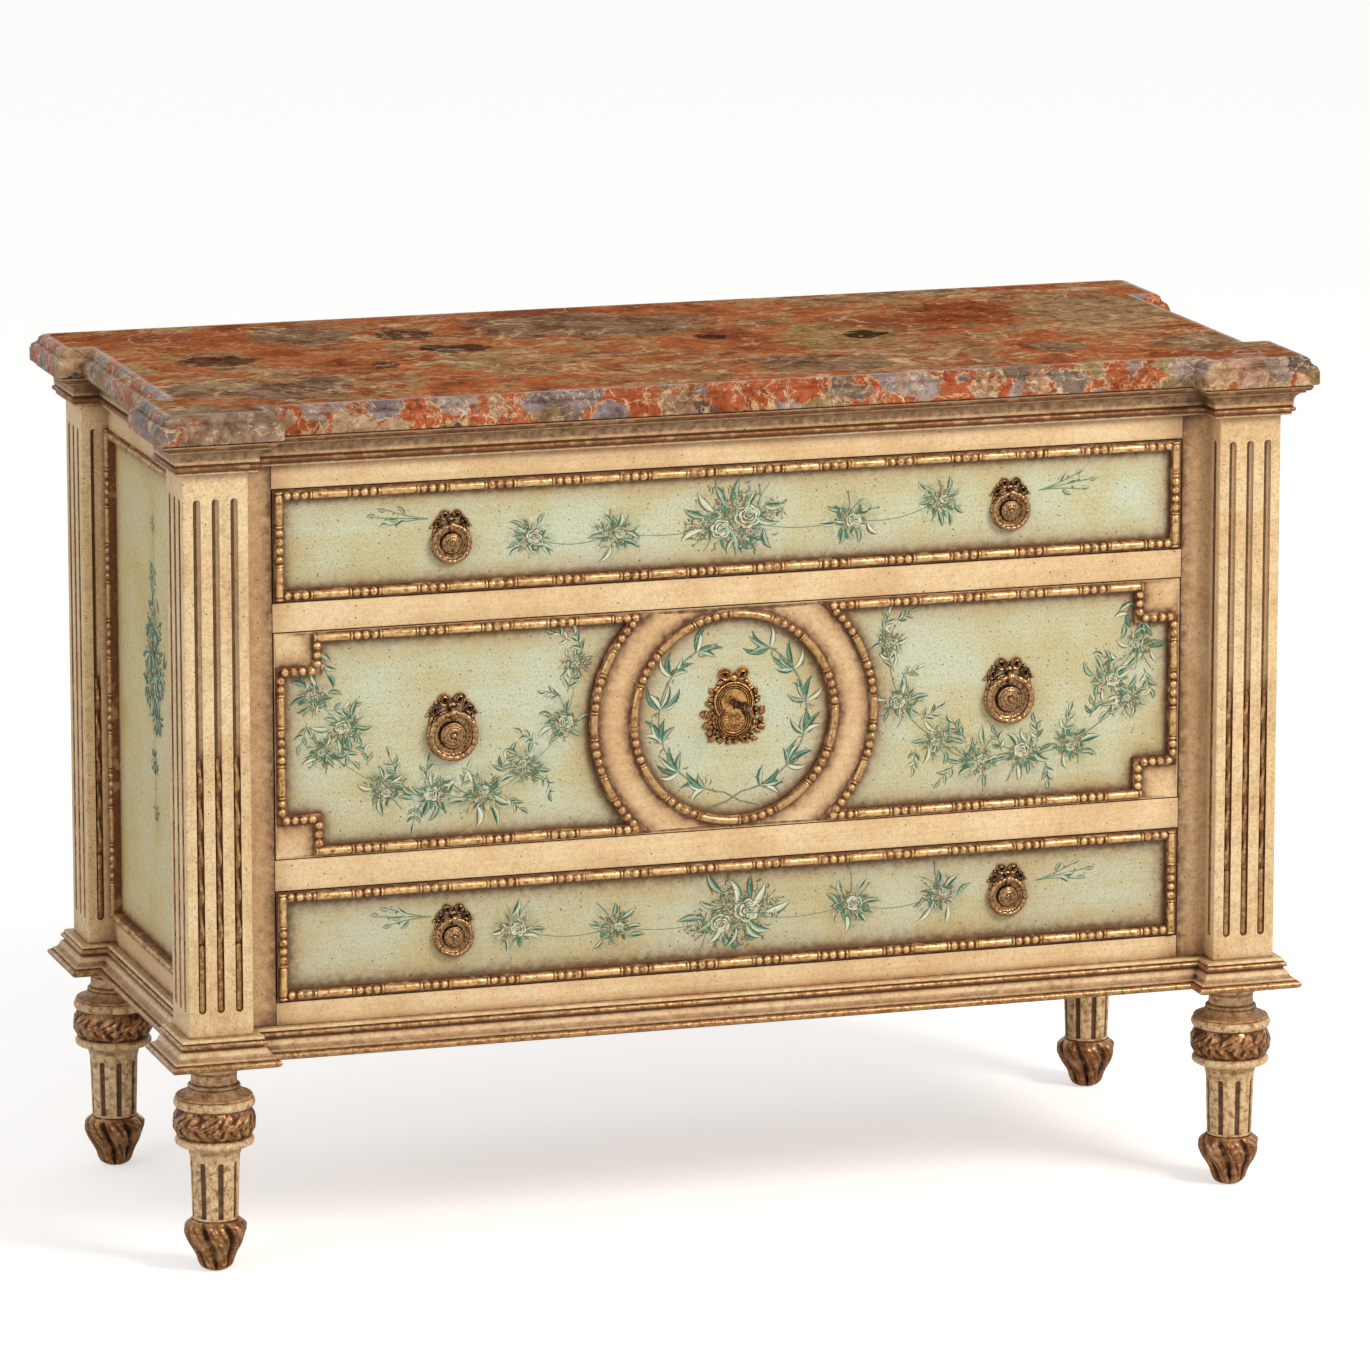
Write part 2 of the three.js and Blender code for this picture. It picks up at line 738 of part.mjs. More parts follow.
function escutcheonPlate() {
  const centre = keyHeight - escutcheonDrop;
  const points = [];
  for (let step = 0; step < circleSteps; step += 1) {
    const turn = (step / circleSteps) * 2 * Math.PI;
    const wave = 1 - escutcheonScallopShare * (1 + Math.cos(escutcheonScallops * turn));
    const x = escutcheonWidth / 2 * wave * Math.cos(turn);
    points.push(new THREE.Vector2(x, centre + escutcheonHeight / 2 * wave * Math.sin(turn)));
  }
  const fieldFront = panelFace - escutcheonFieldThickness;
  const pieces = [slabOf(points, panelFace - escutcheonThickness, escutcheonThickness)];
  pieces.push(disc(0, fieldFront, keyHeight, upperFieldRadius, escutcheonFieldThickness, plateSegments));
  pieces.push(disc(
    0, fieldFront, keyHeight - lowerFieldDrop, lowerFieldRadius, escutcheonFieldThickness, plateSegments,
  ));
  for (const side of [-1, 1]) {
    pieces.push(disc(
      side * escutcheonLoopX, fieldFront, keyHeight + escutcheonLoopZ, escutcheonLoopRadius,
      escutcheonFieldThickness, discSegments,
    ));
  }
  const cutters = keyHoleCutters(fieldFront, panelFace);
  return geometryOf(joined(pieces).subtract(joined(cutters)));
}

function lockCase() {
  const top = keyHeight + lockCaseHeight / 2;
  const half = lockCaseWidth / 2;
  const body = block(-half, half, drawerFrontBack, lockBack, top - lockCaseHeight, top);
  const pocket = disc(
    0, drawerFrontBack - overrun, keyHeight, lockPocketRadius,
    pocketFloor - drawerFrontBack + overrun, plateSegments,
  );
  const slotHalf = boltWidth / 2 + fitGap;
  const slotFront = drawerFrontBack + boltBack - fitGap;
  const slot = block(
    -slotHalf, slotHalf, slotFront, slotFront + boltThickness + 2 * fitGap, keyHeight, top + overrun,
  );
  return cutBy(body, [pocket, slot]);
}

function lockBolt() {
  const front = drawerFrontBack + boltBack;
  return block(-boltWidth / 2, boltWidth / 2, front, front + boltThickness, boltBottom, boltTop);
}

function keyPiece() {
  const stemEnd = pocketFloor - keyEndClearance;
  const tip = panelFace - keyReach;
  const bowBack = tip + keyBowLength;
  const stemLength = stemEnd - bowBack + keyBowBar;
  const pieces = [
    disc(0, bowBack - keyBowBar, keyHeight, keyStemRadius, stemLength, pinSegments),
  ];
  pieces.push(disc(
    0, panelFace - keyCollarOut, keyHeight, keyCollarRadius, keyCollarLength, pinSegments,
  ));
  const bit = block(
    -keyBitWidth / 2, keyBitWidth / 2, stemEnd - keyBitDepth, stemEnd, keyHeight - keyBitLength, keyHeight,
  );
  pieces.push(bit);
  const bow = new THREE.Shape();
  bow.absellipse(0, 0, keyBowLength / 2, keyBowHeight / 2, 0, 2 * Math.PI);
  const eye = new THREE.Path();
  eye.absellipse(0, 0, keyBowLength / 2 - keyBowBar, keyBowHeight / 2 - keyBowBar, 0, 2 * Math.PI);
  bow.holes.push(eye);
  const bowGeometry = new THREE.ExtrudeGeometry(
    bow, { depth: keyBowThickness, bevelEnabled: false, curveSegments: pinSegments },
  );
  bowGeometry.translate(0, 0, -keyBowThickness / 2);
  bowGeometry.rotateX(Math.PI / 2);
  bowGeometry.rotateZ(Math.PI / 2);
  bowGeometry.translate(0, tip + keyBowLength / 2, keyHeight);
  pieces.push(bowGeometry);
  return geometryOf(joined(pieces));
}

// The whole chest
const chest = new THREE.Group();

function place(parent, name, geometry, material) {
  const mesh = new THREE.Mesh(geometry, material);
  mesh.name = name;
  parent.add(mesh);
}

const carcass = new THREE.Group();
chest.add(carcass);
place(carcass, 'marble_top', marbleTop(), marble);
place(carcass, 'cornice_board', corniceBoard(), creamPaint);
place(carcass, 'base_board', baseBoard(), creamPaint);
postPlaces().forEach((corner) => {
  place(carcass, `post_${corner.name}`, cornerPost(corner), creamPaint);
  place(carcass, `leg_${corner.name}`, turnedLeg(corner), creamPaint);
});
place(carcass, 'rail_bottom', frontRail(baseTop, bottomRailHeight), creamPaint);
place(carcass, 'rail_lower', frontRail(lowerRail, lowerRailHeight), creamPaint);
place(carcass, 'rail_upper', upperRailWithMortise(), creamPaint);
place(carcass, 'rail_top', frontRail(topRail, topRailHeight), creamPaint);
for (const [name, side] of [['left', -1], ['right', 1]]) {
  place(carcass, `side_frame_${name}`, sideFrame(side), creamPaint);
  place(carcass, `side_panel_${name}`, sidePanel(side), greenPaint);
}
place(carcass, 'back_panel', backPanel(), bareWood);
place(carcass, 'dust_board_bottom', dustBoard(bottomOpening), bareWood);
place(carcass, 'dust_board_lower', dustBoard(middleOpening), bareWood);
place(carcass, 'dust_board_upper', dustBoard(topOpening), bareWood);

const drawers = [
  { name: 'top', bottom: topOpening, height: topOpeningHeight, pullDrop: topPullDrop },
  { name: 'middle', bottom: middleOpening, height: middleOpeningHeight, pullDrop: 0 },
  { name: 'bottom', bottom: bottomOpening, height: bottomOpeningHeight, pullDrop: bottomPullDrop },
];
drawers.forEach(({ name, bottom, height, pullDrop }) => {
  const drawer = new THREE.Group();
  chest.add(drawer);
  const isMiddle = name === 'middle';
  const border = rectangleOutline(drawerHalf, bottom + drawerGap, bottom + height - drawerGap);
  const medallion = circleOutline(medallionRadius, middleHeight);
  const outlines = isMiddle ? [fieldOutline(-1), fieldOutline(1), medallion] : [border];
  const holes = isMiddle ? keyHoleCutters(frontPlane, drawerFrontBack) : [];
  place(drawer, `drawer_${name}_front`, drawerFront(bottom, height, outlines, holes), greenPaint);
  place(drawer, `drawer_${name}_side_left`, drawerSide(bottom, height, -1), bareWood);
  place(drawer, `drawer_${name}_side_right`, drawerSide(bottom, height, 1), bareWood);
  place(drawer, `drawer_${name}_back`, drawerBack(bottom, height), bareWood);
  place(drawer, `drawer_${name}_bottom`, drawerBottom(bottom, 0), bareWood);
  const beadNames = isMiddle ? ['bead_field_left', 'bead_field_right', 'bead_medallion'] : [`bead_${name}`];
  outlines.forEach((outline, index) => {
    place(drawer, beadNames[index], frontBead(outline), gilding);
  });
  for (const [sideName, side] of [['left', -1], ['right', 1]]) {
    const x = side * pullSpacing / 2;
    const z = bottom + height / 2 - pullDrop;
    const size = isMiddle ? 1 : smallPullShare;
    place(drawer, `pull_plate_${name}_${sideName}`, pullPlate(x, z, size), bronze);
    place(drawer, `pull_ring_${name}_${sideName}`, pullRing(x, z, size), bronze);
  }
  if (isMiddle) {
    place(drawer, 'escutcheon', escutcheonPlate(), bronze);
    place(drawer, 'lock_case', lockCase(), iron);
    place(drawer, 'lock_bolt', lockBolt(), iron);
    place(drawer, 'key', keyPiece(), iron);
  }
});

export default chest;
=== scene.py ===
# %% [markdown]
# # A painted commode chest with a marble top
# This lesson dresses a finished CAD model of a chest of drawers. The model already holds every board,
# leg, drawer and fitting at its real size, and it moves. Here each piece gets the surface and the fine
# shape that the CAD model leaves plain: carved mouldings, fluting, brushed paint, gilding and marble.

# %% Load the fixed frame
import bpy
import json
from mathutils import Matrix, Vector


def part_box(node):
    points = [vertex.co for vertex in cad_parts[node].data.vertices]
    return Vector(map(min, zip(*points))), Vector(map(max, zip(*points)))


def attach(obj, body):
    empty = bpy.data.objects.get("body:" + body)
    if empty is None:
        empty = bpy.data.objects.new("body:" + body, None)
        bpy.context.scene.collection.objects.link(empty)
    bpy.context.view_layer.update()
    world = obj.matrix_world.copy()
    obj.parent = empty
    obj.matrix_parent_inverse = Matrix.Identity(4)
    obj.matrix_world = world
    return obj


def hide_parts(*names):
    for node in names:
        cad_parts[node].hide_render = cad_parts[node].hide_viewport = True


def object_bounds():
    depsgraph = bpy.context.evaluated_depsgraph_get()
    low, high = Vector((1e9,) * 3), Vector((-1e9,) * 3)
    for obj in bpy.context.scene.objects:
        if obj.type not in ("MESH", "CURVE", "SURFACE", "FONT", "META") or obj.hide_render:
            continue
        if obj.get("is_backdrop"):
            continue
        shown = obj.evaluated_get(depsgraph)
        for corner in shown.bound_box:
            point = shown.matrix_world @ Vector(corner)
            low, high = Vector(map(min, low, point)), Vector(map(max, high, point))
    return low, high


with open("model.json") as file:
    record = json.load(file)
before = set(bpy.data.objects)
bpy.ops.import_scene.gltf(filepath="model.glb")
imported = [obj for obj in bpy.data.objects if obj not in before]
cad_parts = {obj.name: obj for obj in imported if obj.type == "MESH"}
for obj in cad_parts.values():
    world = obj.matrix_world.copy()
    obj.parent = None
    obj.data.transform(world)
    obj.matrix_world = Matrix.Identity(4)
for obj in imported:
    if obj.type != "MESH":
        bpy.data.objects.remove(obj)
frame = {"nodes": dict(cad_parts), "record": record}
cad_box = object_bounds()
print("nodes in the frame:", len(frame["nodes"]))

# %% Modules
import json
import math

import bpy
import numpy as np
from mathutils import Vector
from mathutils.geometry import delaunay_2d_cdt

# %% [markdown]
# ## The camera
# The chest is seen from its left, from above its top, with a long lens from far away, so that its
# upright lines stay almost parallel. The place was worked out from the straight edges of the photograph.

# %% Camera
CAMERA_PLACE = (-2.6242, -8.3062, 2.3569)
CAMERA_YAW = 0.308
CAMERA_PITCH = -0.2044
SENSOR_WIDTH = 36.0
FOCAL_PIXELS = 8135.9
PHOTO_PIXELS = 1370

scene = bpy.context.scene
lens = bpy.data.cameras.new("photo_camera")
lens.sensor_width = SENSOR_WIDTH
lens.lens = FOCAL_PIXELS / PHOTO_PIXELS * SENSOR_WIDTH
lens.clip_end = 200.0
camera = bpy.data.objects.new("photo_camera", lens)
camera.location = CAMERA_PLACE
camera.rotation_euler = (math.pi / 2 + CAMERA_PITCH, 0.0, -CAMERA_YAW)
scene.collection.objects.link(camera)
scene.camera = camera
print("lens in mm:", round(lens.lens, 1))

# %% [markdown]
# ## Sizes from the frame
# Nothing is measured twice. The planes that the pieces below are built on are read from the boxes of
# the CAD nodes, and turned into millimetres, because mouldings are easier to think of in millimetres.

# %% Planes and levels, in millimetres
MM = 0.001


def corners(node):
    """Lowest and highest corner of a CAD node, in millimetres."""
    low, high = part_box(node)
    return np.array(low) / MM, np.array(high) / MM


marble_low, marble_high = corners("marble_top")
post_low, post_high = corners("post_front_left")
back_post_low, back_post_high = corners("post_back_left")
rail_low, rail_high = corners("rail_top")
cornice_bottom = corners("cornice_board")[0][2]
base_bottom = corners("base_board")[0][2]

HALF_WIDTH = -post_low[0]
HALF_DEPTH = -post_low[1]
INNER_X = -back_post_high[0]
INNER_Y = back_post_low[1]
OPENING_HALF = -post_high[0]
FRONT = rail_low[1]
RAIL_BACK = rail_high[1]
FIELD = corners("pull_plate_top_left")[1][1]
BEAD_PROUD = FRONT - corners("bead_top")[0][1]
SIDE = -(corners("side_frame_left")[0][0] + BEAD_PROUD)
SIDE_FIELD = -corners("side_panel_left")[0][0]
BEAD_WIDTH = 11.5
print("front plane", round(FRONT, 1), "side plane", round(SIDE, 1), "field", round(FIELD, 1))

# %% [markdown]
# ## How a mesh is gathered
# Carved and moulded pieces are easiest to describe as rows of points. A small class collects rows and
# faces, with two numbers at each point for the materials: "hollow", which is 1 where glaze and dirt
# gather and where shade is painted into the colour, and "tone", which lets one material change colour
# along a piece.

# %% Shape
def full_turn(steps):
    """Equal steps of one full turn, in radians."""
    return np.arange(steps) / steps * 2 * math.pi


def on_circle(turns, radius, centre=(0.0, 0.0)):
    """Points at these turns round a centre."""
    return np.column_stack((centre[0] + radius * np.cos(turns), centre[1] + radius * np.sin(turns)))


def unit(vectors):
    """The same directions with a length of 1."""
    return vectors / np.maximum(np.linalg.norm(vectors, axis=-1, keepdims=True), 1e-9)


def grid_faces(rows, columns, wrap=False):
    """Four-sided faces between neighbours of a grid; wrap joins the last column to the first."""
    spans = columns if wrap else columns - 1
    faces = []
    for row in range(rows - 1):
        for column in range(spans):
            near = row * columns + column
            far = row * columns + (column + 1) % columns
            faces.append((near, far, far + columns, near + columns))
    return faces


class Shape:
    """Points, faces and point numbers, until they become one piece."""

    def __init__(self):
        self.points = []
        self.faces = []
        self.finishes = []
        self.hollow = []
        self.tone = []
        self.count = 0

    def add(self, points, faces, finish=0, hollow=0.0, tone=0.0):
        points = np.asarray(points, float).reshape(-1, 3)
        start = self.count
        self.points.append(points)
        self.faces.extend(tuple(start + corner for corner in face) for face in faces)
        self.finishes.extend([finish] * len(faces) if np.isscalar(finish) else list(finish))
        self.hollow.append(np.broadcast_to(np.ravel(hollow), len(points)))
        self.tone.append(np.broadcast_to(np.ravel(tone), len(points)))
        self.count += len(points)

    def skin(self, rings, finish=0, hollow=0.0, tone=0.0, ends=True):
        """Rings of points in order, joined into a tube, with flat ends."""
        rings = np.asarray(rings, float)
        rows, columns = rings.shape[:2]
        faces = grid_faces(rows, columns, wrap=True)
        finishes = [finish] * len(faces) if np.isscalar(finish) else list(np.repeat(finish, columns))
        if ends:
            faces.append(tuple(reversed(range(columns))))
            faces.append(tuple(range((rows - 1) * columns, rows * columns)))
            finishes += [finishes[0], finishes[-1]]
        self.add(rings, faces, finishes, hollow, tone)


def new_piece(name, shape, materials, body, replaces=(), sharp=35.0):
    """A Shape becomes a piece that rides on a body and may stand for CAD nodes."""
    mesh = bpy.data.meshes.new(name)
    mesh.from_pydata((np.concatenate(shape.points) * MM).tolist(), [], shape.faces)
    for material in materials:
        mesh.materials.append(material)
    mesh.polygons.foreach_set("material_index", shape.finishes)
    for key, numbers in (("hollow", shape.hollow), ("tone", shape.tone)):
        layer = mesh.attributes.new(key, "FLOAT", "POINT")
        layer.data.foreach_set("value", np.concatenate(numbers).astype(np.float32))
    mesh.validate()
    mesh.shade_smooth()
    mesh.set_sharp_from_angle(angle=math.radians(sharp))
    piece = bpy.data.objects.new(name, mesh)
    scene.collection.objects.link(piece)
    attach(piece, body)
    if replaces:
        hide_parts(*replaces)
    print(name, "points:", len(mesh.vertices), "faces:", len(mesh.polygons))
    return piece


# %% [markdown]
# ## How a material is written
# Colours are written as the hex values that a painter would pick, and one function turns them into the
# linear numbers that light is worked out with. One more function adds a node with its settings and
# links. Every pattern is given the size that it has on the real piece, in millimetres.

# %% Colours and nodes
def linear(hex_colour):
    """A hex colour as linear red, green, blue and alpha."""
    channels = [int(hex_colour[place:place + 2], 16) / 255 for place in (1, 3, 5)]
    return tuple(c / 12.92 if c <= 0.04045 else ((c + 0.055) / 1.055) ** 2.4 for c in channels) + (1.0,)


def set_sockets(tree, node, inputs):
    """Sockets by name or place: each gets a number, a hex colour or a link from another node."""
    for key, value in inputs.items():
        socket = node.inputs[key]
        if isinstance(key, str):
            socket = next(s for s in node.inputs if s.name == key and s.enabled)
        if isinstance(value, bpy.types.Node):
            value = next(s for s in value.outputs if s.enabled)
        if isinstance(value, bpy.types.NodeSocket):
            tree.links.new(value, socket)
        else:
            socket.default_value = linear(value) if isinstance(value, str) else value


def add_node(tree, kind, inputs=None, stops=None, **settings):
    """One node with its settings by name, its sockets, and the stops of its ramp."""
    made = tree.nodes.new(kind)
    for key, value in settings.items():
        setattr(made, key, value)
    set_sockets(tree, made, inputs or {})
    if stops:
        ramp = made.color_ramp
        while len(ramp.elements) < len(stops):
            ramp.elements.new(1.0)
        for element, (place, colour) in zip(ramp.elements, stops):
            element.position = place
            element.color = linear(colour)
    return made


def new_material(name):
    """An empty material, its node tree and its surface shader."""
    material = bpy.data.materials.new(name)
    material.use_nodes = True
    tree = material.node_tree
    print("material:", name)
    return material, tree, tree.nodes["Principled BSDF"]


# %% Patterns of a real size
def per_metre(millimetres):
    """The texture scale at which one pattern cell has this real size."""
    return 1.0 / (millimetres * MM)


def place_on_piece(tree, scale=(1.0, 1.0, 1.0)):
    """Object coordinates in metres, multiplied by a scale for each axis."""
    coordinates = add_node(tree, "ShaderNodeTexCoord").outputs["Object"]
    return add_node(tree, "ShaderNodeMapping", {"Vector": coordinates, "Scale": scale})


def point_number(tree, name):
    """The number stored at the points of a mesh under a name."""
    return add_node(tree, "ShaderNodeAttribute", attribute_name=name).outputs["Fac"]


def mottling(tree, size, detail=6.0, roughness=0.5, distortion=0.0, stretch=(1.0, 1.0, 1.0)):
    """A cloudy pattern on the piece, whose clouds have this size in millimetres."""
    return add_node(
        tree, "ShaderNodeTexNoise",
        {"Vector": place_on_piece(tree, stretch), "Scale": per_metre(size), "Detail": detail,
         "Roughness": roughness, "Distortion": distortion},
    )


def patches(tree, low, high, most, *pattern):
    """Patches with a soft rim, where a mottling rises from low to high. most is their full strength."""
    return add_node(
        tree, "ShaderNodeMapRange",
        {"Value": mottling(tree, *pattern), "From Min": low, "From Max": high, "To Max": most},
    )


def coats(tree, ground, *layers, blend="MIX"):
    """Coats of colour over a ground, in order. Each layer is how much of it shows, and its colour."""
    for share, colour in layers:
        ground = add_node(
            tree, "ShaderNodeMix", {"Factor": share, "A": ground, "B": colour}, data_type="RGBA",
            blend_type=blend,
        )
    return ground


# %% [markdown]
# ## Aged paint, with painted shade
# The cream and the green are the same finish in two colours: matt tempera brushed over gesso, then
# rubbed with a brown glaze that stays in the hollows and wears off the edges, then flicked with dark
# spots like fly specks. The eye sees fine brush streaks along the grain, soft clouds of colour and
# brown lines in every corner. That brown is both glaze and painted shade: the glaze colours are laid
# where a point sees little of the sky within 26 mm and where "hollow" is set, so corners, recesses and
# the places between parts are darkened as shade would darken them. The streaks are about 3 mm wide
# and 150 mm long, and the specks are drawn 2 mm across, a little coarser than real ones, so that they
# show. Where "tone" is set, the cream is rubbed through to brown in patches of 8 mm, and the green lies
# over thin washes of teal and olive. The specks need flat coordinates, because a spotted volume that is
# cut by a face shows few whole spots, so the three axes are unrolled to two.

# %% Specks and washes
def speck_mask(tree, spacing, size, share=0.6):
    """Round specks: 1 on a speck and 0 beside it. share of the cells have one."""
    place = add_node(tree, "ShaderNodeTexCoord").outputs["Object"]
    along = add_node(tree, "ShaderNodeVectorMath", {0: place, 1: (1.0, 1.0, 0.0)}, operation="DOT_PRODUCT")
    up = add_node(tree, "ShaderNodeVectorMath", {0: place, 1: (0.31, -0.31, 1.0)}, operation="DOT_PRODUCT")
    flat = add_node(tree, "ShaderNodeCombineXYZ", {"X": along.outputs["Value"], "Y": up.outputs["Value"]})
    cells = add_node(
        tree, "ShaderNodeTexVoronoi", {"Vector": flat, "Scale": per_metre(spacing)},
        voronoi_dimensions="2D",
    )
    picked = add_node(tree, "ShaderNodeSeparateColor", {"Color": cells.outputs["Color"]})
    radius = add_node(
        tree, "ShaderNodeMapRange",
        {"Value": picked.outputs["Red"], "From Min": 1.0 - share, "To Max": size / spacing / 2},
    )
    inner = add_node(tree, "ShaderNodeMath", {0: radius, 1: cells.outputs["Distance"]}, operation="SUBTRACT")
    return add_node(tree, "ShaderNodeMapRange", {"Value": inner, "From Max": size / spacing / 8})


def where_toned(tree, paint, mask, tint):
    """A tint over the paint, inside a mask and as strong as "tone" says."""
    toned = add_node(
        tree, "ShaderNodeMath", {0: mask, 1: point_number(tree, "tone")}, operation="MULTIPLY",
        use_clamp=True,
    )
    return coats(tree, paint, (toned, tint))


def washed(tree, paint):
    """Thin washes of teal, olive and white that the painter laid under the flowers."""
    tints = add_node(
        tree, "ShaderNodeValToRGB", {"Fac": mottling(tree, 13.0, 7.0, 0.66, 0.6)},
        stops=[(0.36, "#3B6E64"), (0.44, "#6F9482"), (0.5, "#9AA47E"), (0.56, "#968E5E"), (0.64, "#D9D6B6")],
    )
    return where_toned(tree, paint, patches(tree, 0.32, 0.56, 1.0, 7.0), tints)


def rubbed_through(tree, paint):
    """Brown patches where hands and dusters have thinned the paint."""
    wear = mottling(tree, 8.0, 8.0, 0.74)
    browns = add_node(tree, "ShaderNodeValToRGB", {"Fac": wear}, stops=[(0.46, "#C09560"), (0.6, "#7A5030")])
    bare = add_node(tree, "ShaderNodeMapRange", {"Value": wear, "From Min": 0.44, "From Max": 0.6})
    return where_toned(tree, paint, bare, browns)


# %% Aged paint
STREAK_WIDTH = 3.0
STREAK_LENGTH = 150.0
SPECK_SIZE = 2.1
GRAIN_SIZE = 2.4
CORNER_REACH = 26.0


def aged_paint_with_shade(name, aging, tones, glaze_and_shade_colours, streak_scale, speck_spacing, graininess):
    """Brushed tempera under brown glaze, with the streaks along one axis."""
    material, tree, shader = new_material(name)
    streaks = add_node(
        tree, "ShaderNodeTexNoise",
        {"Vector": place_on_piece(tree, streak_scale), "Scale": 1.0, "Detail": 3.0, "Roughness": 0.6},
    )
    blend = add_node(tree, "ShaderNodeMath", {0: mottling(tree, 80.0, 5.0), 1: 0.7}, operation="MULTIPLY")
    blend = add_node(tree, "ShaderNodeMath", {0: streaks, 1: 0.3, 2: blend}, operation="MULTIPLY_ADD")
    paint = add_node(tree, "ShaderNodeValToRGB", {"Fac": blend}, stops=list(zip((0.4, 0.49, 0.58), tones)))
    grain = add_node(
        tree, "ShaderNodeValToRGB", {"Fac": mottling(tree, GRAIN_SIZE, 5.0, 0.72)},
        stops=[(0.34, "#A8916A"), (0.46, "#EFE6D4"), (0.56, "#FFFFFF")],
    )
    paint = coats(tree, aging(tree, paint), (graininess, grain), blend="MULTIPLY")

    # Painted shade: where little sky is seen within CORNER_REACH, and where "hollow" is set, the brown glaze
    # colours are laid on.
    sky = add_node(tree, "ShaderNodeAmbientOcclusion", {"Distance": CORNER_REACH * MM}, samples=6)
    corner = add_node(
        tree, "ShaderNodeMapRange", {"Value": sky.outputs["AO"], "From Min": 0.9, "From Max": 0.35},
    )
    deep = add_node(
        tree, "ShaderNodeMath", {0: corner, 1: 0.75, 2: point_number(tree, "hollow")},
        operation="MULTIPLY_ADD",
    )
    uneven = add_node(
        tree, "ShaderNodeMath", {0: mottling(tree, 9.0, 6.0, 0.65), 1: 1.3, 2: 0.3},
        operation="MULTIPLY_ADD",
    )
    glazed_and_shaded = add_node(tree, "ShaderNodeMath", {0: deep, 1: uneven}, operation="MULTIPLY", use_clamp=True)
    glaze_and_shade = add_node(
        tree, "ShaderNodeValToRGB", {"Fac": glazed_and_shaded}, stops=[(0.35, glaze_and_shade_colours[0]), (0.95, glaze_and_shade_colours[1])],
    )
    covered = add_node(tree, "ShaderNodeMath", {0: glazed_and_shaded, 1: 0.93}, operation="MULTIPLY")
    fine = speck_mask(tree, speck_spacing * 0.4, SPECK_SIZE * 0.6)
    fine = add_node(tree, "ShaderNodeMath", {0: fine, 1: 0.7}, operation="MULTIPLY")
    specks = add_node(
        tree, "ShaderNodeMath", {0: speck_mask(tree, speck_spacing, SPECK_SIZE), 1: fine},
        operation="MAXIMUM",
    )
    dark = add_node(tree, "ShaderNodeMath", {0: specks, 1: 0.88}, operation="MULTIPLY")
    sheen = add_node(
        tree, "ShaderNodeMapRange",
        {"Value": streaks, "From Min": 0.3, "From Max": 0.7, "To Min": 0.42, "To Max": 0.58},
    )
    height = add_node(tree, "ShaderNodeMath", {0: streaks, 1: specks}, operation="SUBTRACT")
    set_sockets(tree, shader, {
        "Base Color": coats(tree, paint, (covered, glaze_and_shade), (dark, "#38240F")),
        "Roughness": sheen, "Specular IOR Level": 0.35,
        "Normal": add_node(
            tree, "ShaderNodeBump", {"Height": height, "Strength": 0.35, "Distance": 0.2 * MM},
        ),
    })
    return material


ACROSS = (per_metre(STREAK_LENGTH), per_metre(STREAK_LENGTH), per_metre(STREAK_WIDTH))
UPRIGHT = (per_metre(STREAK_WIDTH), per_metre(STREAK_WIDTH), per_metre(STREAK_LENGTH))
# The last pair of colours in each paint is the brown of the glaze and of the painted shade.
CREAM_PAINT = (rubbed_through, ("#DFBF92", "#E8CB9E", "#EED5AB"), ("#AB6F3E", "#482710"))
GREEN_TONES = ("#C8C39A", "#CACDAC", "#CBD5BE")
SIDE_TONES = ("#CFBF8A", "#D6C998", "#D6CDA4")
GREEN_GLAZE_AND_SHADE = ("#AE8450", "#6A4726")
cream_across = aged_paint_with_shade("cream_tempera_across", *CREAM_PAINT, ACROSS, 18.0, 0.35)
cream_upright = aged_paint_with_shade("cream_tempera_upright", *CREAM_PAINT, UPRIGHT, 13.0, 0.5)
green_across = aged_paint_with_shade("green_tempera_across", washed, GREEN_TONES, GREEN_GLAZE_AND_SHADE, ACROSS, 11.0, 0.5)
green_upright = aged_paint_with_shade("green_tempera_upright", washed, SIDE_TONES, GREEN_GLAZE_AND_SHADE, UPRIGHT, 11.0, 0.6)

# %% [markdown]
# ## Gilding
# The mouldings and leaves are carved wood with gold leaf over red clay, rubbed through and toned with
# dark glaze. Leaf is metal, so the base keeps the default index, but half of what the eye meets is
# glaze and bare gesso, so it is only half metallic. The crests are bright gold and the hollows go down
# to brown, and that brown is glaze and painted shade: where "hollow" is set, the leaf is darkened as the
# shade in the carving would darken it. "tone" moves the colour from gold to the redder brown that the
# round mouldings show. The breaks in the leaf are about 5 mm across, and the patches of bare gesso 14 mm.

